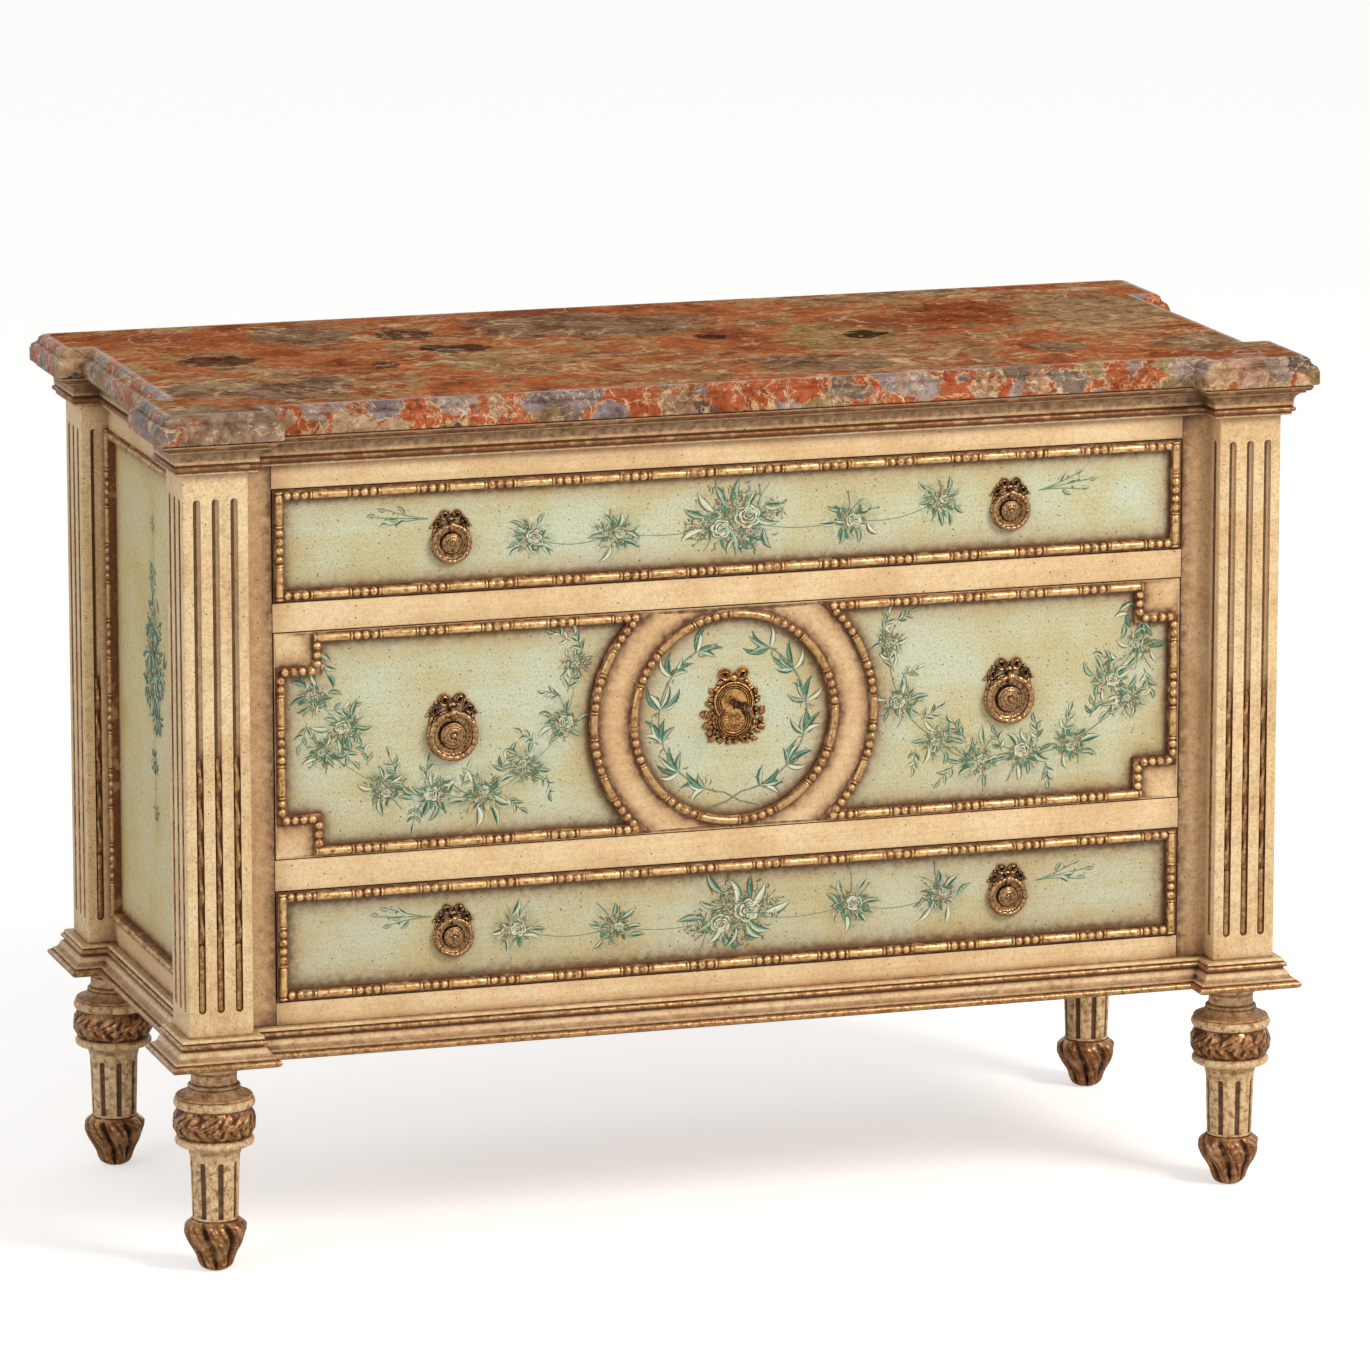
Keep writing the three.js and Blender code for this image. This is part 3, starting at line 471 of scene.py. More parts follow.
# %% Gilding
def gilding(name, crest, thin_leaf, red_clay, glaze_and_shade):
    material, tree, shader = new_material(name)
    worn = mottling(tree, 5.0, 6.0, 0.7)
    depth = add_node(tree, "ShaderNodeMath", {0: worn, 1: 1.8, 2: -0.86}, operation="MULTIPLY_ADD")
    # Painted shade: "hollow" pushes the leaf down the ramp to the brown of glaze and shade.
    depth = add_node(
        tree, "ShaderNodeMath", {0: depth, 1: point_number(tree, "hollow")}, operation="ADD",
        use_clamp=True,
    )
    leaf = add_node(
        tree, "ShaderNodeValToRGB", {"Fac": depth},
        stops=[(0.0, crest), (0.22, thin_leaf), (0.6, red_clay), (1.0, glaze_and_shade)],
    )
    gesso = patches(tree, 0.53, 0.63, 0.6, 14.0, 7.0)
    set_sockets(tree, shader, {
        "Base Color": coats(tree, leaf, (point_number(tree, "tone"), red_clay), (gesso, "#BC9668")),
        "Roughness": add_node(tree, "ShaderNodeMapRange", {"Value": depth, "To Min": 0.24, "To Max": 0.62}),
        "Normal": add_node(tree, "ShaderNodeBump", {"Height": worn, "Strength": 0.6, "Distance": 0.5 * MM}),
        "Metallic": 0.5,
    })
    return material


gold_leaf = gilding("worn_gold_leaf", "#E6BE84", "#9C6B3C", "#794A2B", "#332012")

# %% [markdown]
# ## Breccia marble
# The top is a breccia: broken pieces of grey-brown limestone that float in an orange-red paste, crossed
# by thin cream veins. Most pieces are small chips of 20 mm and stones of 120 mm: each is the inside of
# a cell whose border is bent by noise, and a paler line runs round it. The largest stones and the dark
# lenses are what a buyer knows this slab by, so each of those is planted at its own place, as an oval
# with a ragged rim. The moulded edge, where "tone" is 1, cuts through smaller pieces of 50 mm that lie
# closer together, with flecks of 6 mm between them. The polish is soft, like an old wax finish, so the
# sheen stays low.

# %% Stones and veins
def stone_pieces(tree, cell, bend, palette, sizes, raggedness, softness):
    """Pieces of stone in a paste: their colour, where they are, and how near a point is to the rim."""
    straight = place_on_piece(tree, tuple(per_metre(length) for length in cell))
    push = add_node(
        tree, "ShaderNodeTexNoise", {"Vector": straight, "Scale": 1.3, "Detail": 6.0, "Roughness": 0.6},
    )
    push = add_node(
        tree, "ShaderNodeVectorMath", {0: push.outputs["Color"], 1: (0.5, 0.5, 0.5)}, operation="SUBTRACT",
    )
    place = add_node(
        tree, "ShaderNodeVectorMath", {0: push, 1: (bend, bend, bend), 2: straight},
        operation="MULTIPLY_ADD",
    )
    cells = add_node(tree, "ShaderNodeTexVoronoi", {"Vector": place, "Scale": 1.0, "Randomness": 1.0})
    picked = add_node(tree, "ShaderNodeSeparateColor", {"Color": cells.outputs["Color"]})
    colour = add_node(tree, "ShaderNodeValToRGB", {"Fac": picked.outputs["Red"]}, stops=palette)
    colour.color_ramp.interpolation = "CONSTANT"
    reach = add_node(
        tree, "ShaderNodeMapRange",
        {"Value": picked.outputs["Green"], "To Min": sizes[0], "To Max": sizes[1]},
    )
    crumbs = add_node(
        tree, "ShaderNodeTexNoise", {"Vector": place, "Scale": 4.0, "Detail": 8.0, "Roughness": 0.68},
    )
    rim = add_node(
        tree, "ShaderNodeMath", {0: crumbs, 1: raggedness, 2: -raggedness / 2}, operation="MULTIPLY_ADD",
    )
    inside = add_node(tree, "ShaderNodeMath", {0: reach, 1: cells.outputs["Distance"]}, operation="SUBTRACT")
    inside = add_node(tree, "ShaderNodeMath", {0: inside, 1: rim}, operation="ADD")
    mask = add_node(tree, "ShaderNodeMapRange", {"Value": inside, "From Max": softness})
    line = add_node(tree, "ShaderNodeMath", {0: inside}, operation="ABSOLUTE")
    line = add_node(
        tree, "ShaderNodeMapRange", {"Value": line, "From Max": softness * 1.2, "To Min": 1.0, "To Max": 0.0},
    )
    return colour, mask, line


def planted_stone(tree, below, stone, ragged_rim, veined):
    """One large piece of stone at its place: its middle, half its length and width, and its colour."""
    x, y, half_x, half_y, colour = stone
    place = add_node(
        tree, "ShaderNodeMapping",
        {"Vector": add_node(tree, "ShaderNodeTexCoord").outputs["Object"],
         "Location": (x * MM, y * MM, 0.0), "Rotation": (0.0, 0.0, STONE_TURN),
         "Scale": (half_x * MM, half_y * MM, STONE_DEPTH)},
        vector_type="TEXTURE",
    )
    reach = add_node(tree, "ShaderNodeVectorMath", {0: place}, operation="LENGTH").outputs["Value"]
    inside = add_node(tree, "ShaderNodeMath", {0: ragged_rim, 1: reach}, operation="SUBTRACT")
    mask = add_node(tree, "ShaderNodeMapRange", {"Value": inside, "From Max": 0.16, "To Max": 0.9})
    return coats(tree, below, (mask, coats(tree, colour, (1.0, veined), blend="MULTIPLY")))


def threads(tree, size, width, share, stretch=(1.0, 1.0, 1.0)):
    """Thin wandering veins, broken off where a second mottling is low."""
    wander = mottling(tree, size, 6.0, 0.55, 0.8, stretch)
    middle = add_node(tree, "ShaderNodeMath", {0: wander, 1: 0.5}, operation="SUBTRACT")
    middle = add_node(tree, "ShaderNodeMath", {0: middle}, operation="ABSOLUTE")
    line = add_node(
        tree, "ShaderNodeMapRange", {"Value": middle, "From Max": width, "To Min": 1.0, "To Max": 0.0},
    )
    low = 0.56 - share * 0.2
    whole = patches(tree, low, low + 0.1, 1.0, size * 0.45, 3.0, 0.5, 0.0, stretch)
    return add_node(tree, "ShaderNodeMath", {0: line, 1: whole}, operation="MULTIPLY")


# %% Marble of the top
PASTE = [(0.38, "#96583A"), (0.46, "#BC7046"), (0.54, "#CB7F52"), (0.62, "#C2865D")]
CHIPS = [(0.0, "#B08C62"), (0.2, "#A9613D"), (0.38, "#B08F68"), (0.54, "#97805C"), (0.67, "#A0603F"),
         (0.8, "#CFB992"), (0.84, "#86634E"), (0.94, "#A67C5E")]
CLASTS = [(0.0, "#95806C"), (0.28, "#A08B76"), (0.5, "#8B7563"), (0.68, "#A79276"), (0.84, "#7F6856")]
LARGE_STONES = [
    (192, 3, 76, 85, "#AE9266"), (374, 112, 67, 88, "#9E5735"), (522, 64, 89, 150, "#B49A78"),
    (-518, -149, 94, 60, "#A08B79"), (-364, 176, 63, 68, "#98826B"), (-447, -146, 49, 50, "#8A6F5C"),
    (-532, -118, 35, 34, "#B09A7A"), (-45, 155, 140, 90, "#9A7F6A"), (117, -161, 93, 58, "#937C64"),
    (578, -158, 76, 60, "#A08A70"), (398, -136, 35, 34, "#967F68"),
]
DARK_LENSES = [
    (-491, 42, 46, 36, "#604839"), (-258, 153, 34, 34, "#634C41"), (-230, 46, 38, 30, "#543F34"),
    (223, 4, 24, 28, "#38221A"), (-330, -40, 16, 22, "#5A4638"), (60, 40, 18, 20, "#4E3A30"),
]
CORNER_STONES = [(-562, -285, 84, 46, "#A18D7B"), (566, -270, 22, 34, "#C4A592")]
STONE_TURN = -0.308
STONE_DEPTH = 10.0
EDGE_FLECKS = [(0.0, "#AE5530"), (0.34, "#B8603A"), (0.56, "#984C30"), (0.72, "#CDAA7C"), (0.8, "#B08458"),
               (0.9, "#7A5140")]
EDGE_STONES = [(0.0, "#938589"), (0.18, "#84746A"), (0.34, "#BDA184"), (0.48, "#A98C76"), (0.62, "#6B584F"),
               (0.72, "#9C8B66"), (0.84, "#A79793")]


def top_of_slab(tree, veined):
    """Paste, chips, stones and veins of the polished top, and the rim that planted stones share."""
    stone = add_node(tree, "ShaderNodeValToRGB", {"Fac": mottling(tree, 150.0, 6.0, 0.6, 0.8)}, stops=PASTE)
    chips = stone_pieces(tree, (26.0, 18.0, 14.0), 1.9, CHIPS, (0.9, 0.5), 0.5, 0.1)
    chipped = patches(tree, 0.46, 0.53, 0.9, 150.0, 6.0, 0.66, 0.8)
    clasts = stone_pieces(tree, (120.0, 120.0, 90.0), 1.2, CLASTS, (0.36, -0.3), 0.3, 0.025)
    clast_colour = coats(tree, clasts[0], (1.0, veined), blend="MULTIPLY")
    stone = coats(tree, stone, (chipped, chips[0]), (clasts[1], clast_colour))
    ragged_rim = add_node(
        tree, "ShaderNodeMath", {0: mottling(tree, 34.0, 9.0, 0.7), 1: 2.4, 2: -0.2},
        operation="MULTIPLY_ADD",
    )
    for planted in (*LARGE_STONES, *DARK_LENSES):
        stone = planted_stone(tree, stone, planted, ragged_rim, veined)
    rims = add_node(
        tree, "ShaderNodeMath", {0: clasts[2], 1: patches(tree, 0.53, 0.6, 1.0, 50.0, 4.0, 0.6)},
        operation="MULTIPLY",
    )
    veins = add_node(
        tree, "ShaderNodeMath",
        {0: threads(tree, 150.0, 0.014, 0.9, (1.0, 1.3, 1.4)),
         1: threads(tree, 60.0, 0.018, 0.5, (1.0, 1.6, 1.4))}, operation="MAXIMUM",
    )
    veins = add_node(tree, "ShaderNodeMath", {0: veins, 1: rims}, operation="MAXIMUM")
    veins = add_node(tree, "ShaderNodeMath", {0: veins, 1: 0.8}, operation="MULTIPLY")
    return coats(tree, stone, (veins, "#DCBE95")), ragged_rim


def edge_of_slab(tree, veined):
    """The smaller pieces that the moulded edge cuts through, with flecks between them."""
    flecks = stone_pieces(tree, (6.0, 6.0, 8.0), 2.2, EDGE_FLECKS, (0.9, 0.5), 0.5, 0.1)
    stones = stone_pieces(tree, (50.0, 50.0, 34.0), 1.5, EDGE_STONES, (0.82, 0.3), 0.34, 0.04)
    stone_colour = coats(tree, stones[0], (0.8, veined), blend="MULTIPLY")
    rims = add_node(
        tree, "ShaderNodeMath", {0: stones[2], 1: patches(tree, 0.44, 0.54, 1.0, 16.0, 4.0, 0.6)},
        operation="MULTIPLY",
    )
    veins = add_node(
        tree, "ShaderNodeMath", {0: rims, 1: threads(tree, 45.0, 0.012, 0.6)}, operation="MAXIMUM",
    )
    veins = add_node(tree, "ShaderNodeMath", {0: veins, 1: 0.85}, operation="MULTIPLY")
    flecked = patches(tree, 0.46, 0.54, 0.85, 38.0, 4.0, 0.6)
    return coats(tree, "#AC5E3A", (flecked, flecks[0]), (stones[1], stone_colour), (veins, "#E0C99C"))


def breccia_marble():
    material, tree, shader = new_material("breccia_marble")
    veined = add_node(
        tree, "ShaderNodeValToRGB", {"Fac": mottling(tree, 36.0, 9.0, 0.7, 0.5)},
        stops=[(0.34, "#A08D7E"), (0.46, "#DFD3C6"), (0.54, "#FFFFFF"), (0.64, "#F6DFC4")],
    )
    edge = point_number(tree, "tone")
    top, ragged_rim = top_of_slab(tree, veined)
    stone = coats(tree, top, (edge, edge_of_slab(tree, veined)))
    for planted in CORNER_STONES:
        stone = planted_stone(tree, stone, planted, ragged_rim, veined)
    corner_veins = add_node(
        tree, "ShaderNodeMath", {0: threads(tree, 30.0, 0.02, 0.8), 1: edge}, operation="MULTIPLY",
    )
    corner_veins = add_node(tree, "ShaderNodeMath", {0: corner_veins, 1: 0.7}, operation="MULTIPLY")
    grain = mottling(tree, 9.0, 8.0, 0.75)
    crystals = add_node(
        tree, "ShaderNodeValToRGB", {"Fac": grain},
        stops=[(0.33, "#8A6F5E"), (0.45, "#E2D8CE"), (0.54, "#FFFFFF")],
    )
    depth = add_node(
        tree, "ShaderNodeValToRGB", {"Fac": mottling(tree, 55.0, 5.0, 0.6, 0.4)},
        stops=[(0.36, "#C4AE9C"), (0.5, "#FAF4EE"), (0.6, "#FFFFFF")],
    )
    stone = coats(tree, stone, (corner_veins, "#E4D2AE"))
    set_sockets(tree, shader, {
        "Base Color": coats(tree, stone, (0.8, crystals), (0.5, depth), blend="MULTIPLY"),
        "Roughness": add_node(
            tree, "ShaderNodeMapRange",
            {"Value": grain, "From Min": 0.3, "From Max": 0.7, "To Min": 0.34, "To Max": 0.22},
        ),
        "Specular IOR Level": add_node(tree, "ShaderNodeMapRange", {"Value": edge, "To Max": 0.06}),
    })
    return material


marble = breccia_marble()

# %% [markdown]
# ## Bare wood, bronze and iron
# Inside, the boards are planed softwood that was never painted: yellow-brown, with year rings about
# 7 mm apart drawn out along the board. The pulls and the escutcheon are cast bronze with a brown
# patina, rubbed bright on the high points and almost black in the recesses. The key and the lock are
# dark iron. On castings too fine to number point by point, the shader finds the recesses itself by
# asking how much of the sky each point sees within a few millimetres.

# %% Bare wood, bronze and iron
def bare_wood():
    material, tree, shader = new_material("planed_softwood")
    along_board = place_on_piece(tree, (per_metre(520.0), per_metre(520.0), per_metre(34.0)))
    bend = add_node(tree, "ShaderNodeTexNoise", {"Vector": along_board, "Scale": 1.0, "Detail": 3.0})
    rings = add_node(tree, "ShaderNodeMath", {0: bend, 1: 15.0}, operation="MULTIPLY")
    rings = add_node(tree, "ShaderNodeMath", {0: rings, 1: 1.0}, operation="PINGPONG")
    fibre_size = (per_metre(90.0), per_metre(90.0), per_metre(1.5))
    fibres = add_node(
        tree, "ShaderNodeTexNoise",
        {"Vector": place_on_piece(tree, fibre_size), "Scale": 1.0, "Detail": 2.0},
    )
    mixed = add_node(tree, "ShaderNodeMix", {"Factor": 0.5, "A": rings, "B": fibres})
    set_sockets(tree, shader, {
        "Base Color": add_node(
            tree, "ShaderNodeValToRGB", {"Fac": mixed},
            stops=[(0.2, "#C9A26E"), (0.6, "#B88D57"), (0.9, "#97693A")],
        ),
        "Normal": add_node(tree, "ShaderNodeBump", {"Height": fibres, "Strength": 0.3, "Distance": 0.3 * MM}),
        "Roughness": 0.72,
    })
    return material


def cast_metal(name, bright, middle, dark, recess, roughness, metallic):
    material, tree, shader = new_material(name)
    sky = add_node(
        tree, "ShaderNodeAmbientOcclusion", {"Distance": 3.0 * MM}, samples=8, only_local=True,
    )
    pits = mottling(tree, 3.0, 6.0, 0.68)
    depth = add_node(tree, "ShaderNodeMath", {0: pits, 1: 1.2, 2: -0.6}, operation="MULTIPLY_ADD")
    depth = add_node(tree, "ShaderNodeMath", {0: depth, 1: sky.outputs["AO"]}, operation="ADD")
    patina = add_node(
        tree, "ShaderNodeValToRGB", {"Fac": depth},
        stops=[(0.42, recess), (0.66, dark), (0.88, middle), (1.0, bright)],
    )
    set_sockets(tree, shader, {
        "Base Color": coats(tree, patina, (point_number(tree, "tone"), dark)),
        "Normal": add_node(tree, "ShaderNodeBump", {"Height": pits, "Strength": 0.7, "Distance": 0.6 * MM}),
        "Metallic": metallic, "Roughness": roughness,
    })
    return material


softwood = bare_wood()
bronze = cast_metal("patinated_cast_bronze", "#B08A60", "#5C3F29", "#342013", "#0E0704", 0.25, 0.85)
gilt_bronze = cast_metal("gilt_cast_bronze", "#D0A062", "#8F6036", "#59351B", "#1A0E08", 0.3, 0.85)
iron = cast_metal("dark_iron", "#6B5145", "#3A2A24", "#22160F", "#0D0806", 0.27, 0.95)

# %% [markdown]
# ## Mouldings drawn as profiles
# A moulding is a profile that a plane cuts along the whole edge. Each profile below is a start and a
# list of runs: where the run ends, how far it bulges out or in as a share of its length, and its
# finish. The points are about a millimetre apart, and how deep a point lies between its neighbours
# gives the glaze and the painted shade in the grooves. Cream is finish 0 and gold is finish 1.

# %% Profiles
PROFILE_STEP = 1.1
CREAM = 0
GOLD = 1


def profile(start, *runs):
    """Points along straight and round runs, the finish of each span, and its hollows."""
    points = [np.array(start, float)]
    finishes = []
    for out, up, bulge, run_finish in runs:
        begin = points[-1]
        chord = np.array((out, up), float) - begin
        side = np.array((chord[1], -chord[0]))
        steps = max(2, round(np.hypot(*chord) * (1 + abs(bulge)) / PROFILE_STEP))
        half_turn = 2 * math.atan(2 * bulge)
        for step in range(1, steps + 1):
            share = step / steps
            rise = 0.0
            if bulge:
                turn = (2 * share - 1) * half_turn
                rise = (math.cos(turn) - math.cos(half_turn)) / (2 * math.sin(half_turn))
                share = 0.5 + math.sin(turn) / (2 * math.sin(half_turn))
            points.append(begin + chord * share + side * rise)
            finishes.append(run_finish)
    points = np.array(points)
    return points, finishes, profile_hollows(points)


def profile_hollows(points, reach=2, depth=0.55):
    """1 where a profile point lies deep between its neighbours, 0 on flats and crests."""
    last = len(points) - 1
    places = np.arange(last + 1)
    before = points[np.clip(places - reach, 0, last)]
    after = points[np.clip(places + reach, 0, last)]
    along = unit(after - before)
    outward = np.stack((along[:, 1], -along[:, 0]), axis=1)
    sunk = ((before + after) / 2 - points) * outward
    return np.clip(sunk.sum(axis=1) / depth, 0.0, 1.0)


# %% [markdown]
# ## The breakfront boards
# The marble, the cornice and the base follow the same plan: the corner blocks stand out at the front
# and at both sides. Each board is a stack of outlines. Every outline is the plan moved out by the
# profile's overhang, with its outward corners rounded.

# %% Breakfront plan
CORNER_STEPS = 5


def breakfront_plan():
    """Corners of the plan, anticlockwise from above."""
    right = [
        (INNER_X, FRONT), (INNER_X, -HALF_DEPTH), (HALF_WIDTH, -HALF_DEPTH), (HALF_WIDTH, -INNER_Y),
        (SIDE, -INNER_Y), (SIDE, INNER_Y), (HALF_WIDTH, INNER_Y), (HALF_WIDTH, HALF_DEPTH),
    ]
    left = [(-x, y) for x, y in reversed(right)]
    return np.array(right + left)


def offset_outline(plan, distance):
    """Each corner of a closed outline moves out along its mitre."""
    edges = unit(np.roll(plan, -1, axis=0) - plan)
    normals = np.stack((edges[:, 1], -edges[:, 0]), axis=1)
    before = np.roll(normals, 1, axis=0)
    mitre = (before + normals) / (1 + (before * normals).sum(axis=1, keepdims=True))
    return plan + mitre * distance


def rounded_outline(plan, radius, steps=CORNER_STEPS):
    """The outline with its outward corners as arcs, and the inward ones left sharp."""
    before = unit(np.roll(plan, 1, axis=0) - plan)
    after = unit(np.roll(plan, -1, axis=0) - plan)
    points = []
    for corner, back, ahead in zip(plan, before, after):
        if ahead[0] * back[1] - ahead[1] * back[0] < 0:
            points.append(corner)
            continue
        centre = corner + (back + ahead) * radius
        for step in range(steps + 1):
            turn = step / steps * math.pi / 2
            points.append(centre - ahead * math.cos(turn) * radius - back * math.sin(turn) * radius)
    return np.array(points)


def moulded_board(shape, bottom, moulding, radius, tone=0.0, grime_and_shade=0.0):
    """Outlines stacked by a moulding's profile, closed at the bottom and the top."""
    points, finishes, hollows = moulding
    rings = []
    for out, up in points:
        outline = rounded_outline(offset_outline(breakfront_plan(), out), radius)
        rings.append(np.column_stack((outline, np.full(len(outline), bottom + up))))
    columns = len(rings[0])
    shape.skin(rings, finishes, np.repeat(np.clip(hollows + grime_and_shade, 0.0, 1.0), columns), tone)


# %% [markdown]
# ### Marble top
# The slab's edge has an upright face, a quarter round above it, a small step, and a last round up to
# the polished top. The top face is a ring of its own, so that the crushed edge pattern fades inward.

# %% Marble top
MARBLE_ROUND = 6.0
POLISHED_INSET = 14.5
FADE_INSET = 19.0
marble_overhang = marble_high[0] - HALF_WIDTH
marble_thick = marble_high[2] - marble_low[2]
edge_profile = profile(
    (marble_overhang - 1.0, 0.0),
    (marble_overhang, 1.0, 0.15, 0),
    (marble_overhang, 13.0, 0.0, 0),
    (marble_overhang - 1.0, 15.5, 0.12, 0),
    (marble_overhang - 5.6, 20.4, 0.2, 0),
    (marble_overhang - 5.6, 21.4, 0.0, 0),
    (marble_overhang - 7.2, 21.6, 0.0, 0),
    (marble_overhang - 8.2, 24.6, 0.12, 0),
    (marble_overhang - 10.5, 28.0, 0.2, 0),
    (marble_overhang - POLISHED_INSET, marble_thick, 0.11, 0),
)
slab = Shape()
moulded_board(slab, marble_low[2], edge_profile, MARBLE_ROUND, tone=1.0)
slab.faces.pop()
slab.finishes.pop()
rim, faded = (rounded_outline(offset_outline(breakfront_plan(), marble_overhang - inset), MARBLE_ROUND)
              for inset in (POLISHED_INSET, FADE_INSET))
top_rings = [np.column_stack((ring, np.full(len(ring), marble_high[2]))) for ring in (rim, faded)]
top_faces = grid_faces(2, len(rim), wrap=True) + [tuple(range(len(rim), 2 * len(rim)))]
slab.add(top_rings, top_faces, 0, 0.0, np.repeat((1.0, 0.0), len(rim)))
new_piece("marble_slab", slab, [marble], "carcass", ["marble_top"])

# %% [markdown]
# ### Cornice and base
# Under the marble runs a small gilt ovolo, a cream hollow with thin brown lines, and a gilt bead.
# The base turns the same elements over: gilt round at the bottom, a cream wave, a gilt astragal and a
# thin fillet. Both are cut from one board each, so the finishes change along one profile.

# %% Cornice and base
SOFT_CORNER = 1.2


def painted_moulding(name, node, bottom, edge, tone, grime_and_shade):
    """A cream board with gilt runs, cut along one profile."""
    shape = Shape()
    moulded_board(shape, bottom, edge, SOFT_CORNER, tone=tone, grime_and_shade=grime_and_shade)
    new_piece(name, shape, [cream_across, gold_leaf], "carcass", [node])


cornice_profile = profile(
    (8.9, 0.0),
    (8.9, 3.4, 0.0, CREAM),
    (10.6, 4.0, 0.0, CREAM),
    (10.6, 9.2, 0.4, GOLD),
    (9.6, 9.8, 0.0, CREAM),
    (10.6, 11.2, 0.0, CREAM),
    (10.6, 13.4, 0.0, CREAM),
    (18.6, 25.0, -0.18, CREAM),
    (20.6, 25.4, 0.0, CREAM),
    (20.6, 27.4, 0.0, CREAM),
    (21.8, 27.8, 0.0, GOLD),
    (26.6, 31.4, 0.2, GOLD),
    (27.0, 33.0, 0.0, CREAM),
    (24.4, 33.4, 0.0, CREAM),
    (24.4, 35.0, 0.0, CREAM),
)
# The cornice under the marble is darkened all over: brown glaze, and painted shade under the overhang.
painted_moulding("cornice_moulding", "cornice_board", cornice_bottom, cornice_profile, 0.45, 0.42)

base_profile = profile(
    (20.0, 0.0),
    (22.8, 1.2, 0.1, GOLD),
    (22.4, 7.6, 0.34, GOLD),
    (20.0, 8.2, 0.0, GOLD),
    (20.0, 9.8, 0.0, CREAM),
    (18.6, 10.4, 0.0, CREAM),
    (13.8, 15.4, -0.14, CREAM),
    (10.0, 20.0, 0.12, CREAM),
    (9.0, 20.8, 0.0, CREAM),
    (9.0, 22.2, 0.0, CREAM),
    (10.4, 22.8, 0.0, CREAM),
    (10.4, 27.8, 0.4, GOLD),
    (9.0, 28.4, 0.0, GOLD),
    (9.6, 29.2, 0.0, CREAM),
    (8.2, 32.0, 0.1, CREAM),
)
# The base is darkened a little in the same way.
painted_moulding("base_moulding", "base_board", base_bottom, base_profile, 0.4, 0.1)

# %% [markdown]
# ## Fluted posts
# Each corner post is one square timber, and the stile beside the drawers is glued to the front ones.
# The flutes are half-round grooves with round ends. The post is one skin: an outline in plan, with
# points close together where a flute runs, repeated up the post, and each point pushed in by the depth
# of the flute at its height. The arrises are rubbed round.

# %% Fluted posts
FLUTE_RADIUS = 4.0
FLUTE_PITCH = 20.0
FLUTE_BOTTOM = post_low[2] + 26.0
FLUTE_TOP = post_high[2] - 28.0
FLUTE_ACROSS = 6
ARRIS = 1.6
POST_HALF = 35.0
POST_CENTRE_X = HALF_WIDTH - POST_HALF
POST_CENTRE_Y = HALF_DEPTH - POST_HALF
FILL_TOP = (FLUTE_BOTTOM + FLUTE_TOP) / 2


def flute_lines(front):
    """Middle of each flute of a right-hand post, and the way its face looks."""
    sign = -1 if front else 1
    lines = [(HALF_WIDTH, sign * POST_CENTRE_Y + step * FLUTE_PITCH, 1, 0) for step in (-1, 0, 1)]
    lines.append(((HALF_WIDTH + SIDE) / 2, sign * INNER_Y, 0, -sign))
    if front:
        lines += [(POST_CENTRE_X + step * FLUTE_PITCH, -HALF_DEPTH, 0, -1) for step in (-1, 0, 1)]
        lines.append((INNER_X, (FRONT - HALF_DEPTH) / 2, -1, 0))
    return lines


def post_outline(front):
    """Plan of a right-hand post: place, outward normal and distance from a flute's middle."""
    if front:
        plan = [
            (OPENING_HALF, RAIL_BACK), (OPENING_HALF, FRONT), (INNER_X, FRONT), (INNER_X, -HALF_DEPTH),
            (HALF_WIDTH, -HALF_DEPTH), (HALF_WIDTH, -INNER_Y), (INNER_X, -INNER_Y), (INNER_X, RAIL_BACK),
        ]
    else:
        plan = [(INNER_X, INNER_Y), (HALF_WIDTH, INNER_Y), (HALF_WIDTH, HALF_DEPTH), (INNER_X, HALF_DEPTH)]
    plan = np.array(plan)
    lines = flute_lines(front)
    across = FLUTE_RADIUS * np.sin(np.linspace(-1, 1, 2 * FLUTE_ACROSS + 1) * math.pi / 2)
    outline = []
    for index, corner in enumerate(plan):
        after = plan[(index + 1) % len(plan)]
        ahead = unit(after - corner)
        back = unit(plan[index - 1] - corner)
        normal = np.array((ahead[1], -ahead[0]))
        old_normal = np.array((-back[1], back[0]))
        if ahead[0] * back[1] - ahead[1] * back[0] < 0:
            outline.append((corner, normal, math.inf))
        else:
            centre = corner + (back + ahead) * ARRIS
            for step in range(4):
                turn = step / 3 * math.pi / 2
                spoke = old_normal * math.cos(turn) + normal * math.sin(turn)
                outline.append((centre + spoke * ARRIS, spoke, math.inf))
        on_edge = []
        for x, y, face_x, face_y in lines:
            centre = np.array((x, y))
            along = (centre - corner) @ ahead
            aside = abs((centre - corner) @ normal)
            faces_out = normal @ (face_x, face_y) > 0.9
            if faces_out and aside < 1e-3 and 0 < along < np.linalg.norm(after - corner):
                on_edge.append(along)
        for along in sorted(on_edge):
            for offset in across:
                outline.append((corner + ahead * (along + offset), normal, offset))
    return outline


def post_rows(low, high):
    """Heights of the rows of points: close together where the flutes end."""
    cap = FLUTE_RADIUS * (1 - np.cos(np.linspace(0, 1, 7) * math.pi / 2))
    middle = np.linspace(FLUTE_BOTTOM + FLUTE_RADIUS, FLUTE_TOP - FLUTE_RADIUS, 12)[1:-1]
    rows = [low, low + 3.0, *(FLUTE_BOTTOM + cap), *middle, *(FLUTE_TOP - cap[::-1]), high - 3.0, high]
    return np.array(rows)


